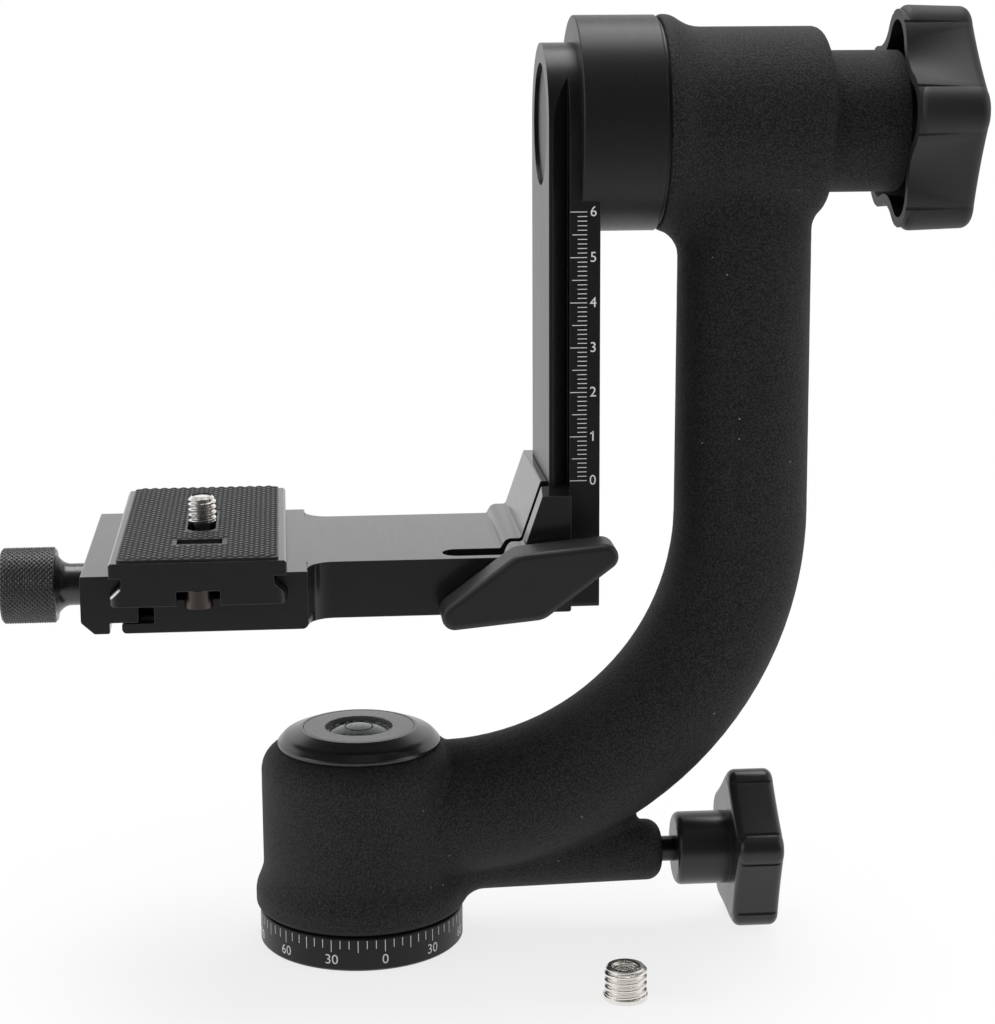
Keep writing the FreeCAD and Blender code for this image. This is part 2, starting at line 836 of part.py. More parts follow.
def pressure_washer():
    """Presses on the collar; two flats in its bore keep it from turning on the shaft."""
    left = collar_right + running_gap
    washer = rod_x(pressure_washer_radius, left, washer_right, z=tilt_height)
    bore = rod_x(thread_radius + running_gap, left, washer_right, z=tilt_height)
    half = thread_flat + running_gap
    return washer.cut(bore.common(block(left, washer_right, -shaft_radius, shaft_radius,
                                        tilt_height - half, tilt_height + half)))


def knob_shell(shrink, right):
    """The knob's lobed body, with its hollows deeper at the back than at the front."""
    tip = tilt_knob_radius - tilt_knob_ridge_rise - shrink
    lobe = tilt_knob_lobe_radius - shrink
    back = lobed_face(tilt_knob_left, tilt_height, tip, lobe,
                      tilt_knob_back_hollow, tilt_knob_lobes, tilt_knob_turn)
    front = lobed_face(right, tilt_height, tip - tilt_knob_draft, lobe,
                       tilt_knob_front_hollow, tilt_knob_lobes, tilt_knob_turn)
    return Part.makeLoft([back.OuterWire, front.OuterWire], True)


def tilt_knob():
    """A lobed shell with a ridge on each lobe, open at the back, with a ribbed hub."""
    floor = tilt_knob_right - tilt_knob_face
    shell = knob_shell(0.0, tilt_knob_right)
    shell = shell.makeFillet(tilt_knob_edge, edges_at_x(shell, tilt_knob_right))
    shell = with_ridges(shell, (tilt_knob_left, tilt_knob_right), tilt_height,
                        tilt_knob_radius, tilt_knob_ridge_rise, tilt_knob_lobe_radius,
                        tilt_knob_ridge_radius, (tilt_knob_back_edge, tilt_knob_edge),
                        tilt_knob_lobes, tilt_knob_turn, tilt_knob_draft)
    shell = shell.cut(knob_shell(tilt_knob_wall, floor))
    shell = shell.fuse(rod_x(nut_radius + nut_wall, nut_left, floor, z=tilt_height))
    rib = block(nut_left + 2.0, floor, -(tilt_knob_radius - tilt_knob_ridge_radius),
                -nut_radius, -tilt_knob_rib / 2, tilt_knob_rib / 2)
    rib.translate(Vector(0, 0, tilt_height))
    for index in range(tilt_knob_lobes):
        turn = tilt_knob_turn + index * 360.0 / tilt_knob_lobes
        shell = shell.fuse(around_axis(rib, tilt_height, turn))
    socket = rod_x(nut_radius, nut_left, nut_left + thread_reach, z=tilt_height)
    return shell.cut(socket).removeSplitter()


def tilt_knob_nut():
    nut = rod_x(nut_radius, nut_left, nut_left + thread_reach, z=tilt_height)
    return nut.cut(rod_x(thread_radius + running_gap, nut_left, nut_left + thread_reach,
                         z=tilt_height))


# ---- cradle rail ----------------------------------------------------------------
def rail_screw_places():
    """Centres of the rail's screws round the tilt axis, as (y, z)."""
    places = []
    for index in range(rail_screw_count):
        angle = math.radians(90 + index * 360.0 / rail_screw_count)
        places.append((rail_screw_circle * math.cos(angle),
                       tilt_height + rail_screw_circle * math.sin(angle)))
    return places


def rail_section(extra, left_extra, z_from, z_to):
    """The rail's dovetail tongue, grown outwards by a clearance, as a vertical prism."""
    left = rail_left - left_extra
    waist = rail_left + rail_tongue
    return profile_along_z([
        (left, -rail_half - extra, 0),
        (left, rail_half + extra, 0),
        (rail_left + rail_land + extra * 0.4, rail_half + extra, 0),
        (waist, rail_half - flank + extra * 1.4, 0),
        (waist, -rail_half + flank - extra * 1.4, 0),
        (rail_left + rail_land + extra * 0.4, -rail_half - extra, 0)], z_from, z_to)


def cradle_rail():
    top = tilt_height + rail_half
    tongue = rail_section(0.0, 0.0, rail_bottom, top)
    flange = block(rail_left + rail_tongue, rail_right, -rail_half, rail_half, rail_bottom, top)
    outline = profile_along_x([
        (-rail_half, rail_bottom, rail_corner),
        (rail_half, rail_bottom, rail_corner),
        (rail_half, tilt_height, 0),
        (-rail_half, tilt_height, 0)], rail_left, rail_right)
    outline = outline.fuse(rod_x(rail_half, rail_left, rail_right, z=tilt_height))
    rail = tongue.fuse(flange).removeSplitter().common(outline)
    rail = rail.cut(rod_x(drum_radius + running_gap, drum_left, rail_right, z=tilt_height))
    rail = rail.cut(rod_x(badge_radius, rail_left, rail_left + badge_depth, z=tilt_height))
    head_floor = rail_left + badge_depth + rail_screw_head_height
    for y, z in rail_screw_places():
        rail = rail.cut(rod_x(rail_screw_head_radius + 0.2, rail_left, head_floor, y, z))
        rail = rail.cut(rod_x(rail_screw_radius, rail_left, drum_left, y, z))
    return rail


def rail_end_disc():
    """The plain disc that covers the rail's screws."""
    return turned_x([
        (rail_left + badge_depth - end_disc_thickness, 0, 0),
        (rail_left + badge_depth - end_disc_thickness, badge_radius - running_gap, 0.2),
        (rail_left + badge_depth, badge_radius - running_gap, 0),
        (rail_left + badge_depth, 0, 0)], tilt_height)


def rail_screws():
    left = rail_left + badge_depth + running_gap
    seat = rail_left + badge_depth + rail_screw_head_height
    screws = []
    for y, z in rail_screw_places():
        head = rod_x(rail_screw_head_radius, left, seat, y, z)
        shank = rod_x(rail_screw_radius, seat, seat + rail_screw_length, y, z)
        socket = hexagon(3.0, Vector(left, y, z), Vector(1, 0, 0), 1.8)
        screws.append(head.fuse(shank).cut(socket))
    return Part.makeCompound(screws)


# ---- L bracket ------------------------------------------------------------------
def arm_and_upstand():
    return profile_along_y([
        (clamp_right - 2.0, arm_bottom, 0),
        (bracket_right, arm_bottom, 0.6),
        (bracket_right, upstand_top, 0),
        (upstand_top_left, upstand_top, 0.4),
        (upstand_foot, arm_top + foot_rise, 0.8),
        (foot_start + 1.2, arm_top + foot_rise, 3.0),
        (foot_start, arm_top, 0.5),
        (clamp_right - 2.0, arm_top, 0)], -arm_half, arm_half)


def clamp_blends():
    """The hollow corners where the narrow arm leaves the wide clamp block."""
    pieces = []
    for side in (-1, 1):
        corner = block(clamp_right, clamp_right + clamp_blend, 0, arm_half + clamp_blend,
                       arm_bottom, arm_top)
        hollow = rod_z(clamp_blend, arm_bottom, arm_top,
                       clamp_right + clamp_blend, arm_half + clamp_blend)
        piece = corner.cut(hollow)
        if side < 0:
            piece = piece.mirror(Vector(0, 0, 0), Vector(0, 1, 0))
        pieces.append(piece)
    return pieces


def clamp_block():
    """The fixed half of the plate clamp: bed, right lip and the slot for the jaw's tongue."""
    wall = plate_right + sliding_gap
    tip = wall - dovetail_depth
    return profile_along_y([
        (clamp_left, arm_bottom, clamp_corner),
        (clamp_right, arm_bottom, clamp_corner),
        (clamp_right, arm_top, 0.4),
        (tip, arm_top, 0),
        (tip, lip_tip, 0),
        (wall, lip_foot, 0),
        (wall, clamp_bed, 0),
        (tongue_slot_end, clamp_bed, 0),
        (tongue_slot_end, tongue_top - tongue_thickness - part_gap, 0.3),
        (clamp_left, tongue_top - tongue_thickness - part_gap, 0.3)],
        -clamp_half, clamp_half)


def rail_slits():
    """The slot and slit that free the near jaw so that the lever can spring it shut."""
    slot_near = slit_far - slot_width
    end_radius = slot_width / 2
    slot = profile_along_z([
        (slot_start, slit_far, end_radius),
        (slot_start, slot_near, end_radius),
        (foot_start, slot_near, 2.0),
        (foot_start + 2.0, slit_near, 1.0),
        (rail_left, slit_near, 0),
        (rail_left, slit_far, 0)], arm_bottom, upstand_top)
    return slot


def l_bracket():
    body = arm_and_upstand().fuse(clamp_block())
    for piece in clamp_blends():
        body = body.fuse(piece)
    body = body.removeSplitter()
    body = body.cut(rail_section(sliding_gap, sliding_gap, arm_bottom, upstand_top))
    body = body.cut(rail_slits())
    near = -arm_half
    bevel = profile_along_x([
        (near, upstand_top, 0),
        (slit_far, upstand_top, 0),
        (near, upstand_top - jaw_top_bevel, 0)], upstand_foot, bracket_right)
    body = body.cut(bevel)
    body = body.cut(rod_y(lever_screw_radius + running_gap, near,
                          near + arm_half + lever_screw_grip + slit_far, lock_x, lock_z))
    bores = [(clamp_screw_radius, 0.0, tongue_slot_end + clamp_screw_grip)]
    for side in (-1, 1):
        bores.append((guide_pin_radius, side * guide_pin_spread, tongue_slot_end + guide_pin_grip))
    for radius, y, end in bores:
        body = body.cut(rod_x(radius + running_gap, clamp_left, end + part_gap,
                              y, clamp_screw_height))
    return body


# ---- rail lock lever --------------------------------------------------------------
def lever_face():
    return -arm_half - running_gap


def lever_washer():
    back = lever_face()
    front = back - lever_washer_thickness
    washer = rod_y(lever_washer_radius, front, back, lock_x, lock_z)
    return washer.cut(rod_y(lever_screw_radius + running_gap, front, back, lock_x, lock_z))


def lock_lever():
    """A wing lever, alike when turned by half a turn."""
    back = lever_face() - lever_washer_thickness - running_gap
    body_back = back - lever_hub_height
    front = body_back - lever_thickness
    tip_x, tip_z = lever_tip
    shoulder_x, shoulder_z = lever_shoulder
    corners = [
        (lock_x - shoulder_x, lock_z + shoulder_z, lever_shoulder_round),
        (lock_x + tip_x, lock_z + tip_z, lever_tip_round),
        (lock_x + shoulder_x, lock_z - shoulder_z, lever_shoulder_round),
        (lock_x - tip_x, lock_z - tip_z, lever_tip_round)]
    wings = profile_along_y(corners, front, body_back)
    wings = wings.makeFillet(lever_edge, edges_at_y(wings, front) + edges_at_y(wings, body_back))
    hub = rod_y(lever_hub_radius, body_back - lever_edge, back, lock_x, lock_z)
    lever = wings.fuse(hub)
    return lever.cut(rod_y(lever_screw_radius, back - lever_thickness * 0.7, back,
                           lock_x, lock_z))


def lever_screw():
    back = lever_face() - lever_washer_thickness - running_gap
    return rod_y(lever_screw_radius, back - lever_thickness * 0.7,
                 slit_far + lever_screw_grip - part_gap, lock_x, lock_z)


# ---- clamp jaw --------------------------------------------------------------------
def movable_jaw():
    wall = plate_left - sliding_gap
    tip = wall + dovetail_depth
    tongue_bottom = tongue_top - tongue_thickness
    tongue_right = jaw_face + tongue_length
    jaw = profile_along_y([
        (jaw_left, arm_top, 0.4),
        (jaw_left, arm_bottom + jaw_bevel, 1.0),
        (jaw_left + jaw_bevel * 1.1, arm_bottom, 0.6),
        (jaw_face, arm_bottom, 0.4),
        (jaw_face, tongue_bottom, 0.3),
        (tongue_right, tongue_bottom, 0.3),
        (tongue_right, tongue_top, 0.3),
        (wall, tongue_top, 0.3),
        (wall, lip_foot, 0),
        (tip, lip_tip, 0),
        (tip, arm_top, 0.3)], -clamp_half, clamp_half)
    jaw = jaw.cut(rod_x(clamp_screw_radius + running_gap, jaw_left, tongue_right,
                        0.0, clamp_screw_height))
    for side in (-1, 1):
        jaw = jaw.cut(rod_x(guide_pin_radius, jaw_left + 2.0, tongue_right,
                            side * guide_pin_spread, clamp_screw_height))
    return jaw


def guide_pins():
    end = tongue_slot_end + guide_pin_grip
    return Part.makeCompound([
        rod_x(guide_pin_radius, jaw_left + 2.0, end, side * guide_pin_spread, clamp_screw_height)
        for side in (-1, 1)])


def clamp_knob():
    knob = turned_x([
        (knurl_left, 0, 0),
        (knurl_left, knurl_radius - knurl_chamfer, 0),
        (knurl_left + knurl_chamfer, knurl_radius, 0),
        (knurl_right - knurl_chamfer, knurl_radius, 0),
        (knurl_right, knurl_radius - knurl_chamfer, 0),
        (knurl_right, knob_neck_radius + knob_flare * 0.6, 0),
        (knurl_right + knob_flare * 0.5, knob_neck_radius, knob_flare),
        (knob_right, knob_neck_radius, 0.2),
        (knob_right, 0, 0)], clamp_screw_height)
    return knob.cut(rod_x(clamp_screw_radius, knurl_left + 3.0, knob_right,
                          z=clamp_screw_height))


def clamp_screw():
    return rod_x(clamp_screw_radius, knurl_left + 3.0, tongue_slot_end + clamp_screw_grip,
                 z=clamp_screw_height)


# ---- quick-release plate ------------------------------------------------------------
def plate_section():
    half = plate_half
    low_land = plate_bottom + dovetail_land
    outline = [(half - 0.6, plate_bottom), (half, plate_bottom + 0.6), (half, low_land),
               (half - dovetail_depth, dovetail_top), (half - dovetail_depth, flange_bottom),
               (half, flange_bottom), (half, plate_top - 0.5), (half - 0.5, plate_top)]
    right = [(plate_centre + x, z, 0) for x, z in outline]
    left = [(plate_centre - x, z, 0) for x, z in reversed(outline)]
    return right + left


def screw_slot(width, length, z_from, z_to):
    """A round-ended slot along Y through the plate, centred on it."""
    half_x = width / 2
    half_y = length / 2
    return profile_along_z([
        (plate_centre - half_x, -half_y, half_x),
        (plate_centre + half_x, -half_y, half_x),
        (plate_centre + half_x, half_y, half_x),
        (plate_centre - half_x, half_y, half_x)], z_from, z_to)


def qr_plate():
    half_length = plate_length / 2
    plate = profile_along_y(plate_section(), -half_length, half_length)
    corners = profile_along_z([
        (plate_left, -half_length, plate_corner),
        (plate_right, -half_length, plate_corner),
        (plate_right, half_length, plate_corner),
        (plate_left, half_length, plate_corner)], plate_bottom, flange_bottom)
    flange = profile_along_z([
        (plate_left, -half_length, 0.5),
        (plate_right, -half_length, 0.5),
        (plate_right, half_length, 0.5),
        (plate_left, half_length, 0.5)], flange_bottom, plate_top)
    plate = plate.common(corners.fuse(flange))
    half_channel = channel_width / 2
    plate = plate.cut(block(plate_centre - half_channel, plate_centre + half_channel,
                            -half_length, half_length,
                            plate_bottom, plate_bottom + channel_depth))
    plate = plate.cut(screw_slot(2 * (camera_screw_radius + running_gap), screw_slot_length,
                                 plate_bottom, plate_top))
    for side in (-1, 1):
        plate = plate.cut(rod_z(stop_screw_radius, plate_bottom,
                                plate_bottom + channel_depth + stop_screw_length,
                                plate_centre, side * stop_y))
    return plate


def rubber_pad():
    half_x = plate_half - pad_margin
    half_y = plate_length / 2 - pad_near_gap
    pad = profile_along_z([
        (plate_centre - half_x, -half_y, 1.2),
        (plate_centre + half_x, -half_y, 1.2),
        (plate_centre + half_x, half_y, 1.2),
        (plate_centre - half_x, half_y, 1.2)], plate_top, plate_top + pad_thickness)
    pad = pad.cut(screw_slot(2 * (camera_screw_radius + running_gap), screw_slot_length,
                             plate_top, plate_top + pad_thickness))
    return pad.cut(block(plate_centre - pad_slot_length / 2, plate_centre + pad_slot_length / 2,
                         pad_slot_centre - pad_slot_width / 2,
                         pad_slot_centre + pad_slot_width / 2,
                         plate_top, plate_top + pad_thickness))


def stop_screws():
    """A stop screw at each end keeps the plate from sliding out of the clamp."""
    top = plate_bottom + channel_depth
    screws = []
    for side in (-1, 1):
        head = rod_z(stop_head_radius, top - stop_head_height, top, plate_centre, side * stop_y)
        shank = rod_z(stop_screw_radius, top, top + stop_screw_length,
                      plate_centre, side * stop_y)
        socket = hexagon(2.5, Vector(plate_centre, side * stop_y, top - stop_head_height),
                         Vector(0, 0, 1), 1.6)
        screws.append(head.fuse(shank).cut(socket))
    return Part.makeCompound(screws)


def camera_washer():
    """A snap washer on the screw's shank, which slides along the plate's channel."""
    top = plate_bottom + channel_depth - running_gap
    half = channel_width / 2 - sliding_gap
    washer = profile_along_z([
        (plate_centre - half, -half, 0.8),
        (plate_centre + half, -half, 0.8),
        (plate_centre + half, half, 0.8),
        (plate_centre - half, half, 0.8)], top - camera_washer_thickness, top)
    return washer.cut(rod_z(camera_shank_radius + running_gap,
                            top - camera_washer_thickness, top, plate_centre))


def camera_screw():
    """Threaded only above the pad, so that the snap washer keeps it in the plate."""
    top = plate_bottom + channel_depth - 2 * running_gap - camera_washer_thickness
    thread_foot = plate_top + pad_thickness + sliding_gap
    screw_top = plate_top + pad_thickness + camera_screw_height
    screw = turned_z([
        (0, top - camera_head_height, 0),
        (camera_head_radius, top - camera_head_height, 0.3),
        (camera_head_radius, top, 0),
        (camera_shank_radius, top, 0),
        (camera_shank_radius, thread_foot, 0),
        (camera_screw_radius, thread_foot, 0),
        (camera_screw_radius, screw_top, 0.6),
        (0, screw_top, 0)], plate_centre)
    slot = block(plate_centre - camera_head_radius, plate_centre + camera_head_radius,
                 -0.6, 0.6, top - camera_head_height, top - camera_head_height + 1.0)
    return screw.cut(slot)


parts = {
    "pan_base": pan_base,
    "pan_washer": pan_washer,
    "retainer_disc": retainer_disc,
    "retainer_screw": retainer_screw,
    "thread_adapter": thread_adapter,
    "gooseneck": gooseneck,
    "pan_bushes": pan_bushes,
    "shoulder_washer": shoulder_washer,
    "tilt_bushes": tilt_bushes,
    "friction_washer": friction_washer,
    "level_cap": level_cap,
    "level_disc": level_disc,
    "level_vial": level_vial,
    "level_glass": level_glass,
    "brake_shoe": brake_shoe,
    "pan_knob_screw": pan_knob_screw,
    "pan_knob": pan_knob,
    "tilt_drum": tilt_drum,
    "tilt_shaft": tilt_shaft,
    "shaft_bolt": shaft_bolt,
    "pressure_washer": pressure_washer,
    "tilt_knob": tilt_knob,
    "tilt_knob_nut": tilt_knob_nut,
    "cradle_rail": cradle_rail,
    "rail_end_disc": rail_end_disc,
    "rail_screws": rail_screws,
    "l_bracket": l_bracket,
    "lever_washer": lever_washer,
    "lock_lever": lock_lever,
    "lever_screw": lever_screw,
    "movable_jaw": movable_jaw,
    "guide_pins": guide_pins,
    "clamp_knob": clamp_knob,
    "clamp_screw": clamp_screw,
    "qr_plate": qr_plate,
    "rubber_pad": rubber_pad,
    "stop_screws": stop_screws,
    "camera_washer": camera_washer,
    "camera_screw": camera_screw,
}

os.makedirs("parts", exist_ok=True)
for name, make in parts.items():
    shape = make()
    solids = shape.Solids
    print(name, len(solids), "solids", round(shape.Volume, 1), "mm3", shape.isValid())
    if len(solids) == 1:
        shape = solids[0]
    shape.exportStep(os.path.join("parts", name + ".step"))
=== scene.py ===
import json
import math
import bpy
import bmesh
from mathutils import Matrix, Vector


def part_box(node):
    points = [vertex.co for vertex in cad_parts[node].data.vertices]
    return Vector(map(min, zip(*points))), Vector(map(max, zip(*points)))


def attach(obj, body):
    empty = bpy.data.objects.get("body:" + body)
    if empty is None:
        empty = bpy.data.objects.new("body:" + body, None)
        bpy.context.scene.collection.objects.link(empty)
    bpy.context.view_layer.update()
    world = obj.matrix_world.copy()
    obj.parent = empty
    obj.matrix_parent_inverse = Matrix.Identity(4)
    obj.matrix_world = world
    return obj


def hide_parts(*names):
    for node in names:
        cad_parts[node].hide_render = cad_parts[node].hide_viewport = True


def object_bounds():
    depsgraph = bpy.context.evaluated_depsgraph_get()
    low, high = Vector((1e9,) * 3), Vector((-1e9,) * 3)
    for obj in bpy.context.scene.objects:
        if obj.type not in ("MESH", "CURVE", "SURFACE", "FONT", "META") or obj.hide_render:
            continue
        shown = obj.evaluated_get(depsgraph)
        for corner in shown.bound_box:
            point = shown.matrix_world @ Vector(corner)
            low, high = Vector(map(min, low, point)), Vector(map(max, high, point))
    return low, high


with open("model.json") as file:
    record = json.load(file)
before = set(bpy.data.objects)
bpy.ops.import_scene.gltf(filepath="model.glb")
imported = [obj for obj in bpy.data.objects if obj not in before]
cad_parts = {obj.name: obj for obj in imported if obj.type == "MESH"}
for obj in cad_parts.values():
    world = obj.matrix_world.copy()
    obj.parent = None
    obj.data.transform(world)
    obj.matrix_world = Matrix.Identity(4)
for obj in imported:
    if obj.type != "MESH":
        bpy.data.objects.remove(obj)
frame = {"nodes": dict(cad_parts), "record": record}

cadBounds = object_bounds()
mm = 0.001

mainView = {
    "place": (-0.01508, -0.55059, 0.21869),
    "yaw": -0.087, "pitch": -0.208, "roll": 0.005,   # radians
    "focalLength": 2438.4,                           # in pixels of the picture
    "pictureHeight": 1024,
    "sensor": 36.0,
}
studio = {
    "floorSize": 6.0, "floorColour": (0.93, 0.93, 0.93), "shadowMiddle": (0.015, 0.0, 0.0), "fadeFrom": 0.05,
    "fadeTo": 0.135, "nearWhite": 0.76,
    "worldLight": 0.50, "frontShade": 0.05, "frontReach": (-0.75, 0.25), "highShade": 0.40,
    "highReach": (0.34, 0.85), "floorMirror": (0.24, 1.0), "mirrorReach": (-0.45, 0.1), "floorGap": 0.02 * mm,
    "topPower": 8.5, "topSize": (0.9, 0.7), "topPlace": (0.0, 0.35, 1.15),
    "leftPower": 1.2, "leftPlace": (-0.9, -0.25, 0.45), "rightPower": 0.9, "rightPlace": (0.95, -0.15, 0.5),
    "sideSize": (0.5, 0.7),
}


# ---- small helpers for node trees and meshes
def setSockets(tree, made, sockets):   # each socket gets a link or a constant
    for name, value in sockets.items():
        if isinstance(value, bpy.types.NodeSocket):
            tree.links.new(value, made.inputs[name])
        else:
            made.inputs[name].default_value = value


def addNode(tree, kind, sockets=None, **settings):
    made = tree.nodes.new(kind)
    for name, value in settings.items():
        setattr(made, name, value)
    setSockets(tree, made, sockets or {})
    return made


def calc(tree, operation, first, second=0.0, third=0.0):
    return addNode(tree, "ShaderNodeMath", {0: first, 1: second, 2: third}, operation=operation).outputs[0]


def newGroup(name, kind, inputs, outputs):
    tree = bpy.data.node_groups.new(name, kind)
    for label, socketKind, value in inputs:
        socket = tree.interface.new_socket(label, in_out="INPUT", socket_type=socketKind)
        if value is not None:
            socket.default_value = value
    for label, socketKind in outputs:
        tree.interface.new_socket(label, in_out="OUTPUT", socket_type=socketKind)
    return tree, tree.nodes.new("NodeGroupInput").outputs, tree.nodes.new("NodeGroupOutput").inputs


def useGroup(tree, group, sockets):
    made = tree.nodes.new("ShaderNodeGroup")
    made.node_tree = group
    setSockets(tree, made, sockets)
    return made.outputs


def mapRange(tree, value, start, end, low=0.0, high=1.0, **settings):
    sockets = {"Value": value, "From Min": start, "From Max": end, "To Min": low, "To Max": high}
    return addNode(tree, "ShaderNodeMapRange", sockets, **settings).outputs[0]


def noise(tree, vector, scale, detail, **sockets):
    return addNode(tree, "ShaderNodeTexNoise", {"Vector": vector, "Scale": scale, "Detail": detail,
                                                **sockets}).outputs["Fac"]


def newMaterial(name, roughness, specular=0.5, metallic=0.0):
    material = bpy.data.materials.new(name)
    material.use_nodes = True
    tree = material.node_tree
    shader = tree.nodes["Principled BSDF"]
    shader.inputs["Roughness"].default_value = roughness
    shader.inputs["Specular IOR Level"].default_value = specular
    shader.inputs["Metallic"].default_value = metallic
    return material, tree, shader.inputs


def ownPoint(tree):
    return addNode(tree, "ShaderNodeTexCoord").outputs["Object"]


def objectPoint(tree, stretch=(1, 1, 1)):
    return addNode(tree, "ShaderNodeMapping", {"Vector": ownPoint(tree), "Scale": stretch}).outputs[0]


def mixColour(tree, mask, first, second):
    blend = addNode(tree, "ShaderNodeMix", data_type="RGBA")
    tree.links.new(mask, blend.inputs[0])
    for index, colour in ((6, first), (7, second)):
        if isinstance(colour, bpy.types.NodeSocket):
            tree.links.new(colour, blend.inputs[index])
        else:
            blend.inputs[index].default_value = (*colour, 1)
    return blend.outputs[2]


def bump(tree, height, strength, depth, normal=None):
    sockets = {"Height": height, "Strength": strength, "Distance": depth}
    if normal is not None:
        sockets["Normal"] = normal
    return addNode(tree, "ShaderNodeBump", sockets).outputs[0]


# ---- shared effects
grain = {"roughness": 0.6, "pebbleScale": 0.7, "pebbleShare": 0.5, "speckScale": 0.22, "speckRarity": 0.985,
         "speckSize": 0.12, "cloudScale": 45.0}
rounding = {"radius": 0.25 * mm, "patchScale": 260.0, "rubbedFrom": 0.01, "rubbedTo": 0.09}
tooling = {"lineScale": 900.0, "mottleScale": 1700.0}


def makeGrain():   # fine pebbled skin of a sprayed coat, and its few bright specks
    tree, given, out = newGroup("Sprayed grain", "ShaderNodeTree",
                                [("Vector", "NodeSocketVector", None), ("Grain", "NodeSocketFloat", 2500.0)],
                                [("Height", "NodeSocketFloat"), ("Specks", "NodeSocketFloat"),
                                 ("Clouds", "NodeSocketFloat")])
    fine = noise(tree, given["Vector"], given["Grain"], 2.0, Roughness=grain["roughness"])
    pebbles = addNode(tree, "ShaderNodeTexVoronoi", {
        "Vector": given["Vector"], "Scale": calc(tree, "MULTIPLY", given["Grain"], grain["pebbleScale"])})
    dips = calc(tree, "MULTIPLY", pebbles.outputs["Distance"], grain["pebbleShare"])
    sparse = addNode(tree, "ShaderNodeTexVoronoi", {
        "Vector": given["Vector"], "Scale": calc(tree, "MULTIPLY", given["Grain"], grain["speckScale"])})
    draw = addNode(tree, "ShaderNodeSeparateColor", {"Color": sparse.outputs["Color"]}).outputs[0]
    chosen = calc(tree, "GREATER_THAN", draw, grain["speckRarity"])
    small = calc(tree, "LESS_THAN", sparse.outputs["Distance"], grain["speckSize"])
    tree.links.new(calc(tree, "SUBTRACT", fine, dips), out["Height"])
    tree.links.new(calc(tree, "MULTIPLY", chosen, small), out["Specks"])
    tree.links.new(noise(tree, given["Vector"], grain["cloudScale"], 3.0), out["Clouds"])
    return tree


def makeRounding():   # softens a sharp edge and marks where it is rubbed
    tree, given, out = newGroup("Rounded edges", "ShaderNodeTree", [],
                                [("Normal", "NodeSocketVector"), ("Rubbed", "NodeSocketFloat")])
    soft = addNode(tree, "ShaderNodeBevel", {"Radius": rounding["radius"]}, samples=4).outputs[0]
    true = addNode(tree, "ShaderNodeNewGeometry").outputs["Normal"]
    alike = addNode(tree, "ShaderNodeVectorMath", {0: soft, 1: true}, operation="DOT_PRODUCT")
    turned = calc(tree, "SUBTRACT", 1.0, alike.outputs["Value"])
    patches = noise(tree, ownPoint(tree), rounding["patchScale"], 3.0)
    rubbed = mapRange(tree, calc(tree, "MULTIPLY", turned, patches),
                      rounding["rubbedFrom"], rounding["rubbedTo"])
    tree.links.new(soft, out["Normal"])
    tree.links.new(rubbed, out["Rubbed"])
    return tree


def makeToolLines():   # lines left by a cutter: the vector is squeezed along the cut
    tree, given, out = newGroup("Tool lines", "ShaderNodeTree", [("Vector", "NodeSocketVector", None)],
                                [("Lines", "NodeSocketFloat"), ("Mottle", "NodeSocketFloat")])
    tree.links.new(noise(tree, given["Vector"], tooling["lineScale"], 3.0), out["Lines"])
    tree.links.new(noise(tree, ownPoint(tree), tooling["mottleScale"], 2.0), out["Mottle"])
    return tree


grainGroup = makeGrain()
roundingGroup = makeRounding()
toolGroup = makeToolLines()


# ---- finishes
coat = {"dark": (0.0055, 0.0055, 0.0060), "light": (0.036, 0.036, 0.0375), "speck": (0.30, 0.30, 0.31),
        "grainSize": 0.34 * mm, "roughness": (0.66, 0.78), "specular": 0.42, "tone": (0.14, 0.50),
        "bump": 0.9, "depth": 0.26 * mm}
anodising = {"dark": (0.0085, 0.0085, 0.0095), "light": (0.0145, 0.0145, 0.0155),
             "rubbed": (0.09, 0.09, 0.092), "depth": 0.02 * mm, "spread": 0.10}
# painted highlight: where the bright crescent by the plate's corner is painted, how wide it is, and its colour
paintedGlint = {"place": (-53.01 * mm, -39.7 * mm, 94.12 * mm), "across": (0.707, 0.0, -0.707),
              "reach": 2.1 * mm, "halfWidth": 0.34 * mm, "glintColour": (0.93, 0.93, 0.92)}
moulded = {"dark": (0.014, 0.014, 0.0155), "light": (0.023, 0.023, 0.025), "rubbed": (0.03, 0.03, 0.032),
           "skinSize": 0.55 * mm, "flowScale": 90.0, "spread": 0.12, "bump": 0.12, "depth": 0.02 * mm}
leverCoat = {"dark": (0.014, 0.014, 0.0155), "light": (0.021, 0.021, 0.023), "rubbed": (0.22, 0.22, 0.22),
             "grain": 3200.0, "roughness": 0.46, "bump": 0.30, "depth": 0.03 * mm}
bareMetal = {"dark": 0.8, "spread": 0.12, "bump": 0.1, "depth": 0.01 * mm}
plastic = {"dark": 0.85, "bump": 0.1, "depth": 0.02 * mm}
padRubber = {"dark": (0.010, 0.010, 0.011), "light": (0.045, 0.045, 0.047), "specular": 0.4,
             "skinScale": 2600.0, "wornScale": 420.0, "roughness": (0.26, 0.3), "bump": 0.5, "depth": 0.05 * mm}
paint = {"dark": (0.72, 0.72, 0.72), "light": (0.93, 0.93, 0.93), "roughness": 0.45, "scale": 3000.0}
glass = {"dark": (0.60, 0.70, 0.66), "light": (0.78, 0.86, 0.82), "roughness": 0.04, "scale": 160.0,
         "transmission": 0.8, "refraction": 1.45}
spirit = {"dark": (0.02, 0.035, 0.03), "light": (0.62, 0.72, 0.67), "roughness": 0.25, "scale": 950.0,
          "tone": (0.42, 0.62)}


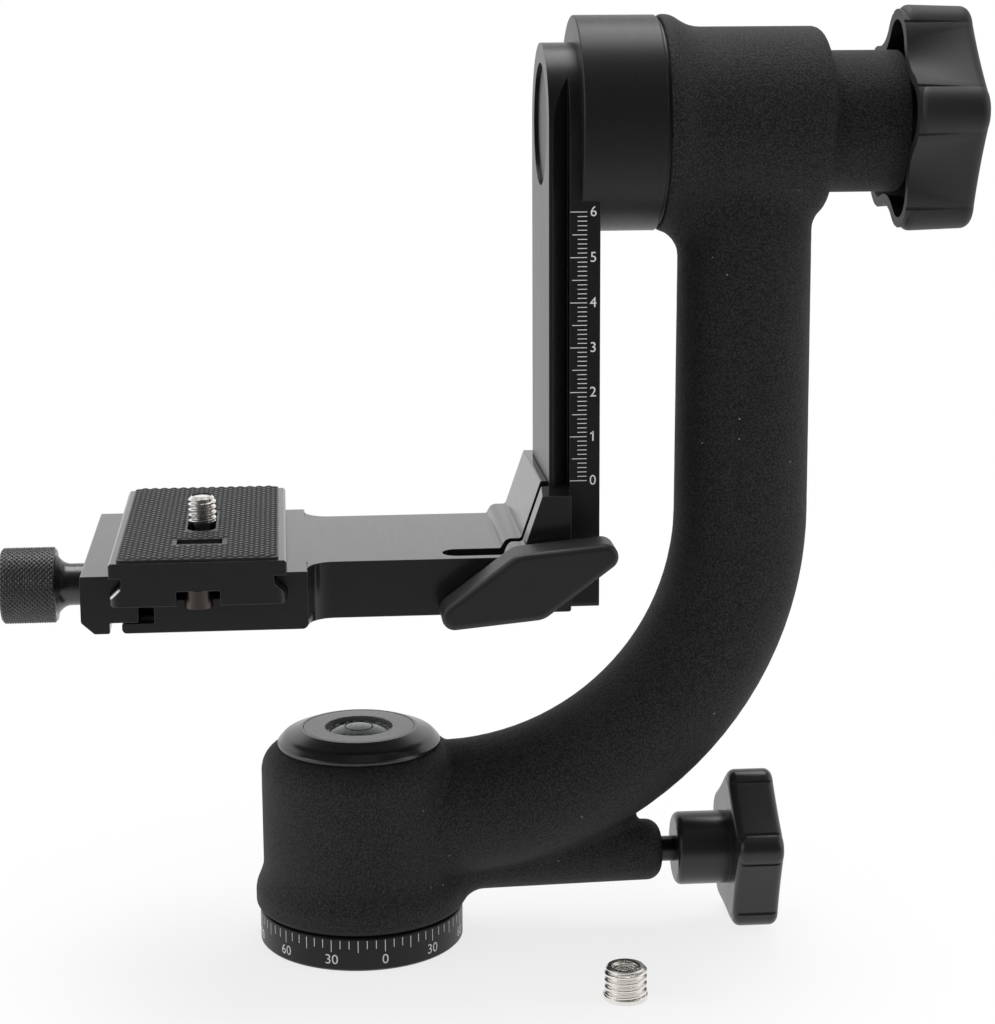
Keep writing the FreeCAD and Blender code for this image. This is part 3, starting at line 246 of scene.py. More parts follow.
def makePowderCoat():
    material, tree, shader = newMaterial("powderCoat", sum(coat["roughness"]) / 2, coat["specular"])
    skin = useGroup(tree, grainGroup, {"Vector": objectPoint(tree), "Grain": 1 / coat["grainSize"]})
    tone = mapRange(tree, skin["Height"], *coat["tone"])
    colour = mixColour(tree, tone, coat["dark"], coat["light"])
    tree.links.new(mixColour(tree, skin["Specks"], colour, coat["speck"]), shader["Base Color"])
    tree.links.new(mapRange(tree, skin["Clouds"], 0.0, 1.0, *coat["roughness"]), shader["Roughness"])
    tree.links.new(bump(tree, skin["Height"], coat["bump"], coat["depth"]), shader["Normal"])
    return material


def bareMask(tree):   # painted highlight: a bright crescent painted on the flank's edge by one corner of the plate, where a glint falls on the rounded edge
    offset = addNode(tree, "ShaderNodeVectorMath", {0: objectPoint(tree), 1: paintedGlint["place"]},
                     operation="SUBTRACT").outputs["Vector"]
    away = addNode(tree, "ShaderNodeVectorMath", {0: offset}, operation="LENGTH").outputs["Value"]
    side = addNode(tree, "ShaderNodeVectorMath", {0: offset, 1: paintedGlint["across"]},
                   operation="DOT_PRODUCT").outputs["Value"]
    near = mapRange(tree, away, paintedGlint["reach"], 0.7 * paintedGlint["reach"])
    strip = mapRange(tree, calc(tree, "ABSOLUTE", side), 1.3 * paintedGlint["halfWidth"], paintedGlint["halfWidth"])
    return calc(tree, "MULTIPLY", near, strip)


def makeAnodised(name, stretch, roughness, specular, lineStrength, mottleStrength, lighter=1.0, withPaintedGlint=False):
    material, tree, shader = newMaterial(name, roughness, specular)
    tool = useGroup(tree, toolGroup, {"Vector": objectPoint(tree, stretch)})
    edge = useGroup(tree, roundingGroup, {})
    dark, light = (tuple(lighter * part for part in anodising[tone]) for tone in ("dark", "light"))
    colour = mixColour(tree, tool["Mottle"], dark, light)
    colour = mixColour(tree, edge["Rubbed"], colour, anodising["rubbed"])
    # painted highlight: the bright crescent by the plate's corner is mixed into the colour here
    if withPaintedGlint:
        colour = mixColour(tree, bareMask(tree), colour, paintedGlint["glintColour"])
    tree.links.new(colour, shader["Base Color"])
    tree.links.new(calc(tree, "MULTIPLY_ADD", tool["Lines"], anodising["spread"], roughness - 0.05),
                   shader["Roughness"])
    lines = bump(tree, tool["Lines"], lineStrength, anodising["depth"], edge["Normal"])
    tree.links.new(bump(tree, tool["Mottle"], mottleStrength, anodising["depth"], lines), shader["Normal"])
    return material


def makeMoulded(name, roughness):   # black moulded plastic with a faint skin
    material, tree, shader = newMaterial(name, roughness)
    place = objectPoint(tree)
    skin = noise(tree, place, 1 / moulded["skinSize"], 3.0)
    flow = noise(tree, place, moulded["flowScale"], 4.0)
    edge = useGroup(tree, roundingGroup, {})
    colour = mixColour(tree, flow, moulded["dark"], moulded["light"])
    tree.links.new(mixColour(tree, edge["Rubbed"], colour, moulded["rubbed"]), shader["Base Color"])
    tree.links.new(calc(tree, "MULTIPLY_ADD", flow, moulded["spread"], roughness - 0.06), shader["Roughness"])
    tree.links.new(bump(tree, skin, moulded["bump"], moulded["depth"], edge["Normal"]), shader["Normal"])
    return material


def makeLeverCoat():
    material, tree, shader = newMaterial("leverCoat", leverCoat["roughness"])
    skin = useGroup(tree, grainGroup, {"Vector": objectPoint(tree), "Grain": leverCoat["grain"]})
    edge = useGroup(tree, roundingGroup, {})
    colour = mixColour(tree, skin["Clouds"], leverCoat["dark"], leverCoat["light"])
    tree.links.new(mixColour(tree, edge["Rubbed"], colour, leverCoat["rubbed"]), shader["Base Color"])
    tree.links.new(bump(tree, skin["Height"], leverCoat["bump"], leverCoat["depth"], edge["Normal"]),
                   shader["Normal"])
    return material


def makeMetal(name, colour, roughness, lineScale, stretch=(1, 1, 1)):
    material, tree, shader = newMaterial(name, roughness, metallic=1.0)
    lines = noise(tree, objectPoint(tree, stretch), lineScale, 3.0)
    darker = tuple(bareMetal["dark"] * part for part in colour)
    tree.links.new(mixColour(tree, lines, darker, colour), shader["Base Color"])
    tree.links.new(calc(tree, "MULTIPLY_ADD", lines, bareMetal["spread"], roughness - 0.05),
                   shader["Roughness"])
    tree.links.new(bump(tree, lines, bareMetal["bump"], bareMetal["depth"]), shader["Normal"])
    return material


def makePlain(name, colour, roughness, speckle):   # plain plastic with a faint tone change
    material, tree, shader = newMaterial(name, roughness)
    cloud = noise(tree, objectPoint(tree), speckle, 3.0)
    darker = tuple(plastic["dark"] * part for part in colour)
    tree.links.new(mixColour(tree, cloud, darker, colour), shader["Base Color"])
    tree.links.new(bump(tree, cloud, plastic["bump"], plastic["depth"]), shader["Normal"])
    return material


def makePadRubber():   # dull black rubber, rubbed a little greyer in places
    material, tree, shader = newMaterial("padRubber", 0.6, padRubber["specular"])
    skin = noise(tree, objectPoint(tree), padRubber["skinScale"], 2.0)
    worn = noise(tree, objectPoint(tree), padRubber["wornScale"], 3.0)
    low, spread = padRubber["roughness"]
    tree.links.new(mixColour(tree, worn, padRubber["dark"], padRubber["light"]), shader["Base Color"])
    tree.links.new(calc(tree, "MULTIPLY_ADD", worn, spread, low), shader["Roughness"])
    tree.links.new(bump(tree, skin, padRubber["bump"], padRubber["depth"]), shader["Normal"])
    return material


def makeCloudy(name, look, detail=2.0):   # two tones that drift into each other
    material, tree, shader = newMaterial(name, look["roughness"])
    tone = noise(tree, objectPoint(tree), look["scale"], detail)
    if "tone" in look:
        tone = mapRange(tree, tone, *look["tone"])
    tree.links.new(mixColour(tree, tone, look["dark"], look["light"]), shader["Base Color"])
    return material, shader


def makeGlass():
    material, shader = makeCloudy("levelGlass", glass)
    shader["Transmission Weight"].default_value = glass["transmission"]
    shader["IOR"].default_value = glass["refraction"]
    return material


finishes = {
    "coat": makePowderCoat(),
    "turned": makeAnodised("turnedAnodised", (1.0, 0.02, 0.02), 0.38, 0.30, 0.25, 0.05, 1.3),
    "knurled": makeAnodised("knurledAnodised", (1.0, 1.0, 1.0), 0.26, 0.9, 0.05, 0.05),
    "base": makeAnodised("baseAnodised", (0.03, 0.03, 1.0), 0.42, 0.30, 0.25, 0.12),
    "rail": makeAnodised("railAnodised", (1.0, 1.0, 0.03), 0.33, 0.34, 0.20, 0.12),
    # the milled finish carries the painted highlight by the plate's corner
    "milled": makeAnodised("milledAnodised", (1.0, 0.06, 1.0), 0.17, 0.56, 0.10, 0.32, 1.0, True),
    "cap": makeAnodised("capAnodised", (0.5, 0.5, 1.0), 0.24, 0.85, 0.05, 0.08),
    "disc": makeAnodised("discAnodised", (1.0, 1.0, 1.0), 0.26, 0.8, 0.05, 0.7, 11.0),
    "moulded": makeMoulded("mouldedPlastic", 0.56),
    "glossy": makeMoulded("glossyPlastic", 0.30),
    "lever": makeLeverCoat(),
    "pad": makePadRubber(),
    "paint": makeCloudy("whitePaint", paint)[0],
    "glass": makeGlass(),
    "spirit": makeCloudy("levelSpirit", spirit, 4.0)[0],   # liquid and cup under the glass
    "nickel": makeMetal("nickelPlate", (1.0, 0.97, 0.93), 0.26, 1200.0, (1, 1, 0.2)),
    "blackSteel": makeMetal("blackSteel", (0.05, 0.047, 0.045), 0.34, 1500.0),
    "darkSteel": makeMetal("darkSteel", (0.16, 0.135, 0.125), 0.36, 1500.0),
    "steel": makeMetal("turnedSteel", (0.50, 0.50, 0.51), 0.28, 1400.0, (1, 1, 0.1)),
    "bronze": makeMetal("bushBronze", (0.52, 0.36, 0.19), 0.42, 1600.0),
    "aluminium": makeMetal("satinAluminium", (0.62, 0.63, 0.64), 0.34, 1500.0),
    "nylon": makePlain("nylon", (0.012, 0.012, 0.013), 0.42, 900.0),
}
nodeFinish = {
    "gooseneck": "coat", "pan_base": "base", "tilt_drum": "turned", "cradle_rail": "rail",
    "rail_end_disc": "turned", "l_bracket": "milled", "movable_jaw": "milled", "qr_plate": "milled",
    "level_cap": "cap", "level_disc": "disc", "level_vial": "spirit", "level_glass": "glass",
    "pan_knob": "glossy", "tilt_knob": "moulded", "lock_lever": "lever", "rubber_pad": "pad",
    "camera_screw": "nickel", "thread_adapter": "nickel", "stop_screws": "darkSteel",
    "clamp_knob": "turned", "clamp_screw": "steel", "guide_pins": "steel", "lever_washer": "darkSteel",
    "lever_screw": "darkSteel", "pan_knob_screw": "blackSteel", "rail_screws": "darkSteel",
    "camera_washer": "steel", "shaft_bolt": "darkSteel", "tilt_shaft": "steel", "pressure_washer": "steel",
    "retainer_screw": "darkSteel", "retainer_disc": "aluminium", "pan_bushes": "bronze",
    "tilt_bushes": "bronze", "tilt_knob_nut": "bronze", "pan_washer": "nylon", "shoulder_washer": "nylon",
    "friction_washer": "nylon", "brake_shoe": "nylon",
}
for nodeName, nodeObject in frame["nodes"].items():
    for slot in nodeObject.material_slots:
        slot.material = finishes[nodeFinish[nodeName]]
print("finishes on", len(frame["nodes"]), "nodes")


# ---- node trees for what repeats
def geometryTree(name, inputs):
    return newGroup(name, "GeometryNodeTree", [*inputs, ("Material", "NodeSocketMaterial", None)],
                    [("Geometry", "NodeSocketGeometry")])


def finishTree(tree, geometry, given, out):
    real = addNode(tree, "GeometryNodeRealizeInstances", {0: geometry}).outputs[0]
    painted = addNode(tree, "GeometryNodeSetMaterial", {"Geometry": real, "Material": given["Material"]})
    tree.links.new(painted.outputs[0], out[0])


def grow(name, tree, **sizes):   # runs a tree and keeps what it makes as a plain mesh
    piece = addPiece(name, bpy.data.meshes.new(name))
    modifier = piece.modifiers.new(name, "NODES")
    modifier.node_group = tree
    sockets = {item.name: item.identifier for item in tree.interface.items_tree if item.in_out == "INPUT"}
    for label, value in sizes.items():
        modifier[sockets[label]] = value
    shown = piece.evaluated_get(bpy.context.evaluated_depsgraph_get())
    mesh = bpy.data.meshes.new_from_object(shown)
    piece.modifiers.clear()
    mesh.materials.clear()
    mesh.materials.append(sizes["Material"])
    mesh.polygons.foreach_set("material_index", [0] * len(mesh.polygons))
    piece.data = mesh
    return piece


def tickLength(tree, given):   # long, middle or short mark, by its number in the row
    index = addNode(tree, "GeometryNodeInputIndex").outputs[0]

    def falls(every):
        rest = calc(tree, "MODULO", index, every)
        return calc(tree, "LESS_THAN", rest, 0.5)
    middle = addNode(tree, "ShaderNodeMix", {0: falls(given["Middle every"]), 2: given["Short"],
                                             3: given["Middle"]}).outputs[0]
    return addNode(tree, "ShaderNodeMix", {0: falls(given["Long every"]), 2: middle,
                                           3: given["Long"]}).outputs[0]


def float3(tree, x=0.0, y=0.0, z=0.0):
    return addNode(tree, "ShaderNodeCombineXYZ", {0: x, 1: y, 2: z}).outputs[0]


tickInputs = [("Count", "NodeSocketInt", 10), ("Spacing", "NodeSocketFloat", 0.001),
              ("Long every", "NodeSocketFloat", 10.0), ("Middle every", "NodeSocketFloat", 5.0),
              ("Long", "NodeSocketFloat", 0.004), ("Middle", "NodeSocketFloat", 0.003),
              ("Short", "NodeSocketFloat", 0.002), ("Line", "NodeSocketFloat", 0.0002),
              ("Thickness", "NodeSocketFloat", 0.00002)]


def makeRulerTree():   # marks up a straight rule, level with each other at their right ends
    tree, given, out = geometryTree("Rule marks", tickInputs)
    row = addNode(tree, "GeometryNodeMeshLine", {"Count": given["Count"],
                                                 "Offset": float3(tree, z=given["Spacing"])}, mode="OFFSET")
    mark = addNode(tree, "GeometryNodeMeshCube", {"Size": (1, 1, 1)})
    pinned = addNode(tree, "GeometryNodeTransform", {0: mark.outputs[0], "Translation": (-0.5, 0, 0)})
    size = float3(tree, tickLength(tree, given), given["Thickness"], given["Line"])
    marks = addNode(tree, "GeometryNodeInstanceOnPoints", {"Points": row.outputs[0],
                                                           "Instance": pinned.outputs[0], "Scale": size})
    finishTree(tree, marks.outputs[0], given, out)
    return tree


def makeDialTree():   # marks round a ring, level with each other at their tops
    tree, given, out = geometryTree("Dial marks", [*tickInputs, ("Radius", "NodeSocketFloat", 0.024),
                                                   ("Start", "NodeSocketFloat", 0.0)])
    row = addNode(tree, "GeometryNodeMeshLine", {"Count": given["Count"]}, mode="OFFSET")
    index = addNode(tree, "GeometryNodeInputIndex").outputs[0]
    turn = calc(tree, "MULTIPLY_ADD", index, given["Spacing"], given["Start"])
    spot = float3(tree, calc(tree, "MULTIPLY", calc(tree, "SINE", turn), given["Radius"]),
                  calc(tree, "MULTIPLY", calc(tree, "COSINE", turn),
                       calc(tree, "MULTIPLY", given["Radius"], -1.0)))
    ring = addNode(tree, "GeometryNodeSetPosition", {"Geometry": row.outputs[0], "Position": spot})
    mark = addNode(tree, "GeometryNodeMeshCube", {"Size": (1, 1, 1)})
    pinned = addNode(tree, "GeometryNodeTransform", {0: mark.outputs[0], "Translation": (0, 0, -0.5)})
    size = float3(tree, given["Line"], given["Thickness"], tickLength(tree, given))
    marks = addNode(tree, "GeometryNodeInstanceOnPoints",
                    {"Points": ring.outputs[0], "Instance": pinned.outputs[0],
                     "Rotation": float3(tree, z=turn), "Scale": size})
    finishTree(tree, marks.outputs[0], given, out)
    return tree


def pointPlace(tree):
    place = addNode(tree, "GeometryNodeInputPosition").outputs[0]
    return addNode(tree, "ShaderNodeSeparateXYZ", {0: place}).outputs


def wrappedGrid(tree, given):   # a sheet of points with how far each is round, and along
    sheet = addNode(tree, "GeometryNodeMeshGrid", {"Size X": 1.0, "Size Y": 1.0,
                                                   "Vertices X": given["Round steps"],
                                                   "Vertices Y": given["Long steps"]}).outputs[0]
    spot = pointPlace(tree)
    around = calc(tree, "ADD", spot[0], 0.5)
    along = calc(tree, "MULTIPLY", calc(tree, "ADD", spot[1], 0.5), given["Length"])
    return sheet, around, along


def wrapRound(tree, sheet, around, along, radius):   # bends the sheet into a tube about Z
    turn = calc(tree, "MULTIPLY", around, 2 * math.pi)
    place = float3(tree, calc(tree, "MULTIPLY", calc(tree, "COSINE", turn), radius),
                   calc(tree, "MULTIPLY", calc(tree, "SINE", turn), radius), along)
    tube = addNode(tree, "GeometryNodeSetPosition", {"Geometry": sheet, "Position": place})
    closed = addNode(tree, "GeometryNodeMergeByDistance", {"Geometry": tube.outputs[0], "Distance": 1e-6})
    return closed.outputs[0]


def farFromWhole(tree, value):   # 0 on a whole number, 1 half-way to the next
    return calc(tree, "MULTIPLY", calc(tree, "PINGPONG", value, 0.5), 2.0)


threadFlank = (0.14, 0.8)   # where the flank starts and ends, from the groove's middle to the crest's
tubeInputs = [("Radius", "NodeSocketFloat", 0.009), ("Length", "NodeSocketFloat", 0.012),
              ("Depth", "NodeSocketFloat", 0.0003), ("Pitch", "NodeSocketFloat", 0.0009),
              ("Chamfer", "NodeSocketFloat", 0.0007), ("Round steps", "NodeSocketInt", 96),
              ("Long steps", "NodeSocketInt", 48)]


def makeKnurlTree():   # diamond knurl: small pyramids between two sets of crossing grooves
    tree, given, out = geometryTree("Diamond knurl", [*tubeInputs, ("Diamonds round", "NodeSocketFloat", 60.0)])
    sheet, around, along = wrappedGrid(tree, given)
    across = calc(tree, "MULTIPLY", around, given["Diamonds round"])
    rise = calc(tree, "DIVIDE", along, given["Pitch"])
    pyramid = calc(tree, "MINIMUM", farFromWhole(tree, calc(tree, "ADD", across, rise)),
                   farFromWhole(tree, calc(tree, "SUBTRACT", calc(tree, "ADD", across, 500.0), rise)))
    cut = calc(tree, "MULTIPLY", calc(tree, "SUBTRACT", 1.0, pyramid), given["Depth"])
    knurled = calc(tree, "SUBTRACT", given["Radius"], cut)
    fromEnd = calc(tree, "MINIMUM", along, calc(tree, "SUBTRACT", given["Length"], along))
    bevel = calc(tree, "ADD", calc(tree, "SUBTRACT", given["Radius"], given["Chamfer"]), fromEnd)
    closed = wrapRound(tree, sheet, around, along, calc(tree, "MINIMUM", knurled, bevel))
    finishTree(tree, closed, given, out)
    return tree


def makeThreadTree():   # right-hand thread: the groove climbs one pitch a turn and runs out at the top
    tree, given, out = geometryTree("Screw thread", tubeInputs)
    sheet, around, along = wrappedGrid(tree, given)
    phase = calc(tree, "SUBTRACT", calc(tree, "ADD", calc(tree, "DIVIDE", along, given["Pitch"]), 50.0), around)
    crest = mapRange(tree, farFromWhole(tree, phase), *threadFlank, interpolation_type="SMOOTHSTEP")
    cut = calc(tree, "MULTIPLY", calc(tree, "SUBTRACT", 1.0, crest), given["Depth"])
    threaded = calc(tree, "SUBTRACT", given["Radius"], cut)
    fromTop = calc(tree, "SUBTRACT", given["Length"], along)
    bevel = calc(tree, "ADD", calc(tree, "SUBTRACT", given["Radius"], given["Chamfer"]), fromTop)
    closed = wrapRound(tree, sheet, around, along, calc(tree, "MINIMUM", threaded, bevel))
    smooth = addNode(tree, "GeometryNodeSetShadeSmooth", {"Geometry": closed})
    finishTree(tree, smooth.outputs[0], given, out)
    return tree


def makeStudTree():   # staggered diamond studs on a flat field, left out round two slots
    tree, given, out = geometryTree("Rubber studs", [
        ("Across", "NodeSocketInt", 29), ("Along", "NodeSocketInt", 67), ("Step", "NodeSocketFloat", 0.001),
        ("Base", "NodeSocketFloat", 0.001), ("Top", "NodeSocketFloat", 0.0006),
        ("Height", "NodeSocketFloat", 0.0003),
        ("Slot width", "NodeSocketFloat", 0.006), ("Slot length", "NodeSocketFloat", 0.022),
        ("Mark place", "NodeSocketFloat", -0.022), ("Mark width", "NodeSocketFloat", 0.01),
        ("Mark length", "NodeSocketFloat", 0.005)])
    sizes = [calc(tree, "MULTIPLY", calc(tree, "SUBTRACT", given[count], 1.0), given["Step"])
             for count in ("Across", "Along")]
    field = addNode(tree, "GeometryNodeMeshGrid", {"Size X": sizes[0], "Size Y": sizes[1],
                                                   "Vertices X": given["Across"], "Vertices Y": given["Along"]})
    spot = pointPlace(tree)
    diagonal = calc(tree, "ROUND", calc(tree, "DIVIDE", calc(tree, "ADD", spot[0], spot[1]), given["Step"]))
    between = calc(tree, "GREATER_THAN", farFromWhole(tree, calc(tree, "MULTIPLY", diagonal, 0.5)), 0.5)

    def inside(place, width, length):
        near = calc(tree, "LESS_THAN", calc(tree, "ABSOLUTE", spot[0]), calc(tree, "MULTIPLY", width, 0.5))
        level = calc(tree, "LESS_THAN", calc(tree, "ABSOLUTE", calc(tree, "SUBTRACT", spot[1], place)),
                     calc(tree, "MULTIPLY", length, 0.5))
        return calc(tree, "MULTIPLY", near, level)
    holes = calc(tree, "MAXIMUM", inside(0.0, given["Slot width"], given["Slot length"]),
                 inside(given["Mark place"], given["Mark width"], given["Mark length"]))
    kept = addNode(tree, "GeometryNodeDeleteGeometry", {"Geometry": field.outputs[0],
                                                        "Selection": calc(tree, "MAXIMUM", between, holes)})
    diamond = addNode(tree, "GeometryNodeMeshCone", {"Vertices": 4, "Radius Bottom": given["Base"],
                                                     "Radius Top": given["Top"], "Depth": given["Height"]})
    studs = addNode(tree, "GeometryNodeInstanceOnPoints", {"Points": kept.outputs[0],
                                                           "Instance": diamond.outputs[0]})
    finishTree(tree, studs.outputs[0], given, out)
    return tree


rulerTree = makeRulerTree()
dialTree = makeDialTree()
knurlTree = makeKnurlTree()
threadTree = makeThreadTree()
studTree = makeStudTree()


# ---- mesh helpers
def addPiece(name, data):
    piece = bpy.data.objects.new(name, data)
    bpy.context.collection.objects.link(piece)
    return piece


def meshFrom(name, shape, material):
    mesh = bpy.data.meshes.new(name)
    shape.to_mesh(mesh)
    shape.free()
    mesh.materials.clear()
    mesh.materials.append(material)
    mesh.polygons.foreach_set("material_index", [0] * len(mesh.polygons))
    return mesh


def lathe(name, profile, material, steps=96):   # turns (radius, height) points about Z
    shape = bmesh.new()
    rings = []
    for radius, height in profile:
        if radius < 1e-6:
            rings.append([shape.verts.new((0, 0, height))])
            continue
        rings.append([shape.verts.new((radius * math.cos(2 * math.pi * step / steps),
                                       radius * math.sin(2 * math.pi * step / steps), height))
                      for step in range(steps)])
    for lower, upper in zip(rings, rings[1:]):
        for step in range(steps):
            corners = [lower[step % len(lower)], lower[(step + 1) % len(lower)],
                       upper[(step + 1) % len(upper)], upper[step % len(upper)]]
            shape.faces.new(list(dict.fromkeys(corners)))
    bmesh.ops.recalc_face_normals(shape, faces=shape.faces)
    mesh = meshFrom(name, shape, material)
    smoothUpTo(mesh, 35)
    return addPiece(name, mesh)


def smoothUpTo(mesh, degrees):   # smooth shading, but sharp where two faces meet at more than this
    mesh.polygons.foreach_set("use_smooth", [True] * len(mesh.polygons))
    shape = bmesh.new()
    shape.from_mesh(mesh)
    for edge in shape.edges:
        edge.smooth = edge.calc_face_angle(0.0) < math.radians(degrees)
    shape.to_mesh(mesh)
    shape.free()


def fillet(corners, steps=5):   # (radius, height, curve) corners to a profile with round stretches
    points = []
    for index, (radius, height, curve) in enumerate(corners):
        here = Vector((radius, height))
        if not curve:
            points.append(tuple(here))
            continue
        back = (Vector(corners[index - 1][:2]) - here).normalized()
        ahead = (Vector(corners[index + 1][:2]) - here).normalized()
        reach = curve / math.tan(back.angle(ahead) / 2)
        start, end = here + back * reach, here + ahead * reach
        for step in range(steps + 1):
            t = step / steps
            points.append(tuple(start.lerp(here, t).lerp(here.lerp(end, t), t)))
    return points


def joinPieces(name, material, *pieces):
    shape = bmesh.new()
    for piece in pieces:
        part = piece.data.copy()
        part.transform(piece.matrix_basis)
        shape.from_mesh(part)
    joined = addPiece(name, meshFrom(name, shape, material))
    for piece in pieces:
        bpy.data.objects.remove(piece)
    return joined


def makeFigure(text, size, thickness):   # flat figures, centred, in the XY plane
    curve = bpy.data.curves.new("figure", "FONT")
    curve.body = text
    curve.size = size
    curve.extrude = thickness / 2
    curve.align_x = "CENTER"
    curve.align_y = "CENTER"
    curve.resolution_u = 4
    holder = addPiece("figure", curve)
    mesh = bpy.data.meshes.new_from_object(holder.evaluated_get(bpy.context.evaluated_depsgraph_get()))
    bpy.data.objects.remove(holder)
    return mesh


flagOutline = ((0.0, 0.36), (0.0, 0.25), (-0.20, 0.15), (-0.20, 0.24))   # in heights of the figure


def addFlag(figure, size, thickness):   # the short slope at the top of a figure one
    shape = bmesh.new()
    shape.from_mesh(figure)
    rings = [[shape.verts.new((x * size, y * size, side * thickness / 2)) for x, y in flagOutline]
             for side in (-1, 1)]
    shape.faces.new(rings[1])
    shape.faces.new(rings[0][::-1])
    for index in range(len(flagOutline)):
        nextIndex = (index + 1) % len(flagOutline)
        shape.faces.new((rings[0][index], rings[0][nextIndex], rings[1][nextIndex], rings[1][index]))
    bmesh.ops.recalc_face_normals(shape, faces=shape.faces)
    shape.to_mesh(figure)
    shape.free()


# ---- rule on the rail's near flange
rule = {"zeroHeight": 112.6 * mm, "lastNumber": 6, "perNumber": 10, "rightEnd": 51.45 * mm,
        "long": 3.75 * mm, "middle": 3.3 * mm, "short": 2.1 * mm, "line": 0.17 * mm, "paint": 0.02 * mm,
        "numberPlace": 52.85 * mm, "numberSize": 3.2 * mm}
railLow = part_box("cradle_rail")[0]
railTicks = grow("railTicks", rulerTree, **{
    "Count": rule["lastNumber"] * rule["perNumber"] + 1, "Spacing": mm, "Long every": float(rule["perNumber"]),
    "Middle every": rule["perNumber"] / 2,
    "Long": rule["long"], "Middle": rule["middle"], "Short": rule["short"], "Line": rule["line"],
    "Thickness": rule["paint"], "Material": finishes["paint"]})
railTicks.data.transform(Matrix.Translation((rule["rightEnd"], railLow.y, rule["zeroHeight"])))


def makeRailNumbers():
    shape = bmesh.new()
    for value in range(rule["lastNumber"] + 1):
        figure = makeFigure(str(value), rule["numberSize"], rule["paint"])
        if value == 1:
            addFlag(figure, rule["numberSize"], rule["paint"])
        place = Matrix.Translation((rule["numberPlace"], railLow.y,
                                    rule["zeroHeight"] + value * rule["perNumber"] * mm))
        figure.transform(place @ Matrix.Rotation(math.pi / 2, 4, "X"))
        shape.from_mesh(figure)
    return addPiece("railNumbers", meshFrom("railNumbers", shape, finishes["paint"]))


railNumbers = makeRailNumbers()

# ---- dial round the pan base
dial = {"zeroTurn": math.radians(11.0), "step": 5, "longEvery": 15, "numberEvery": 30,
        "top": 7.45 * mm, "long": 2.85 * mm, "short": 2.0 * mm, "line": 0.17 * mm, "paint": 0.02 * mm,
        "numberMiddle": 2.7 * mm, "numberSize": 3.3 * mm}
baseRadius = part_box("pan_base")[1].x
never = 1000.0   # more marks than the dial has
dialTicks = grow("dialTicks", dialTree, **{
    "Count": 360 // dial["step"], "Spacing": math.radians(dial["step"]),
    "Long every": float(dial["longEvery"] // dial["step"]), "Middle every": never,
    "Long": dial["long"], "Middle": dial["long"], "Short": dial["short"], "Line": dial["line"],
    "Thickness": dial["paint"], "Radius": baseRadius, "Start": dial["zeroTurn"], "Material": finishes["paint"]})
dialTicks.data.transform(Matrix.Translation((0, 0, dial["top"])))


def makeDialNumbers():   # figures follow the round wall
    shape = bmesh.new()
    for turn in range(0, 360, dial["numberEvery"]):
        figure = makeFigure(str(min(turn, 360 - turn)), dial["numberSize"], dial["paint"])
        middle = dial["zeroTurn"] + math.radians(turn)
        for vertex in figure.vertices:
            across, up, out = vertex.co
            angle = middle + across / baseRadius
            radius = baseRadius + out
            vertex.co = (radius * math.sin(angle), -radius * math.cos(angle), dial["numberMiddle"] + up)
        shape.from_mesh(figure)
    return addPiece("dialNumbers", meshFrom("dialNumbers", shape, finishes["paint"]))


dialNumbers = makeDialNumbers()
print("markings made")

# ---- knurled clamp knob, along X
knurl = {"length": 12.4 * mm, "depth": 0.50 * mm, "proud": 0.12 * mm, "pitch": 1.12 * mm, "round": 46.0,
         "chamfer": 0.7 * mm, "neckRadius": 4.8 * mm, "flare": 3.6 * mm, "steps": (349, 82),
         "inset": 0.02 * mm, "rimWidth": (1.2 * mm, 0.9 * mm)}
knobLow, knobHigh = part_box("clamp_knob")
knobMiddle = (knobLow + knobHigh) / 2


def makeClampKnob():
    radius = (knobHigh.z - knobLow.z) / 2 + knurl["proud"]
    length = knobHigh.x - knobLow.x
    grip = grow("grip", knurlTree, **{
        "Radius": radius, "Length": knurl["length"], "Depth": knurl["depth"], "Pitch": knurl["pitch"],
        "Chamfer": knurl["chamfer"], "Round steps": knurl["steps"][0], "Long steps": knurl["steps"][1],
        "Diamonds round": knurl["round"], "Material": finishes["knurled"]})
    inset = knurl["inset"]
    core = radius - knurl["depth"] - inset
    end = radius - knurl["chamfer"]
    body = lathe("body", fillet([
        (0, inset, 0), (end - knurl["rimWidth"][0], inset, 0), (end - knurl["rimWidth"][1], 0, 0), (end, 0, 0),
        (core, knurl["chamfer"], 0), (core, knurl["length"] - knurl["chamfer"], 0), (end, knurl["length"], 0),
        (knurl["neckRadius"] + knurl["flare"] * 0.6, knurl["length"], 0),
        (knurl["neckRadius"], knurl["length"] + knurl["flare"] * 0.5, knurl["flare"] * 0.9),
        (knurl["neckRadius"], length, 0), (0, length, 0)]), finishes["knurled"])
    knob = joinPieces("clampKnobKnurled", finishes["knurled"], grip, body)
    turn = Matrix.Rotation(math.pi / 2, 4, "Y")
    knob.data.transform(Matrix.Translation((knobLow.x, 0, knobMiddle.z)) @ turn)
    return knob


clampKnob = makeClampKnob()

# ---- threaded pieces
cameraThread = {"radius": 3.175 * mm, "pitch": 1.27 * mm, "depth": 0.62 * mm, "topRounding": 0.9 * mm,
                "steps": (97, 70), "overPad": 0.12 * mm, "headHeight": 1.9 * mm, "shankRadius": 2.6 * mm}
screwLow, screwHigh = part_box("camera_screw")
screwMiddle = (screwLow + screwHigh) / 2
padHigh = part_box("rubber_pad")[1]


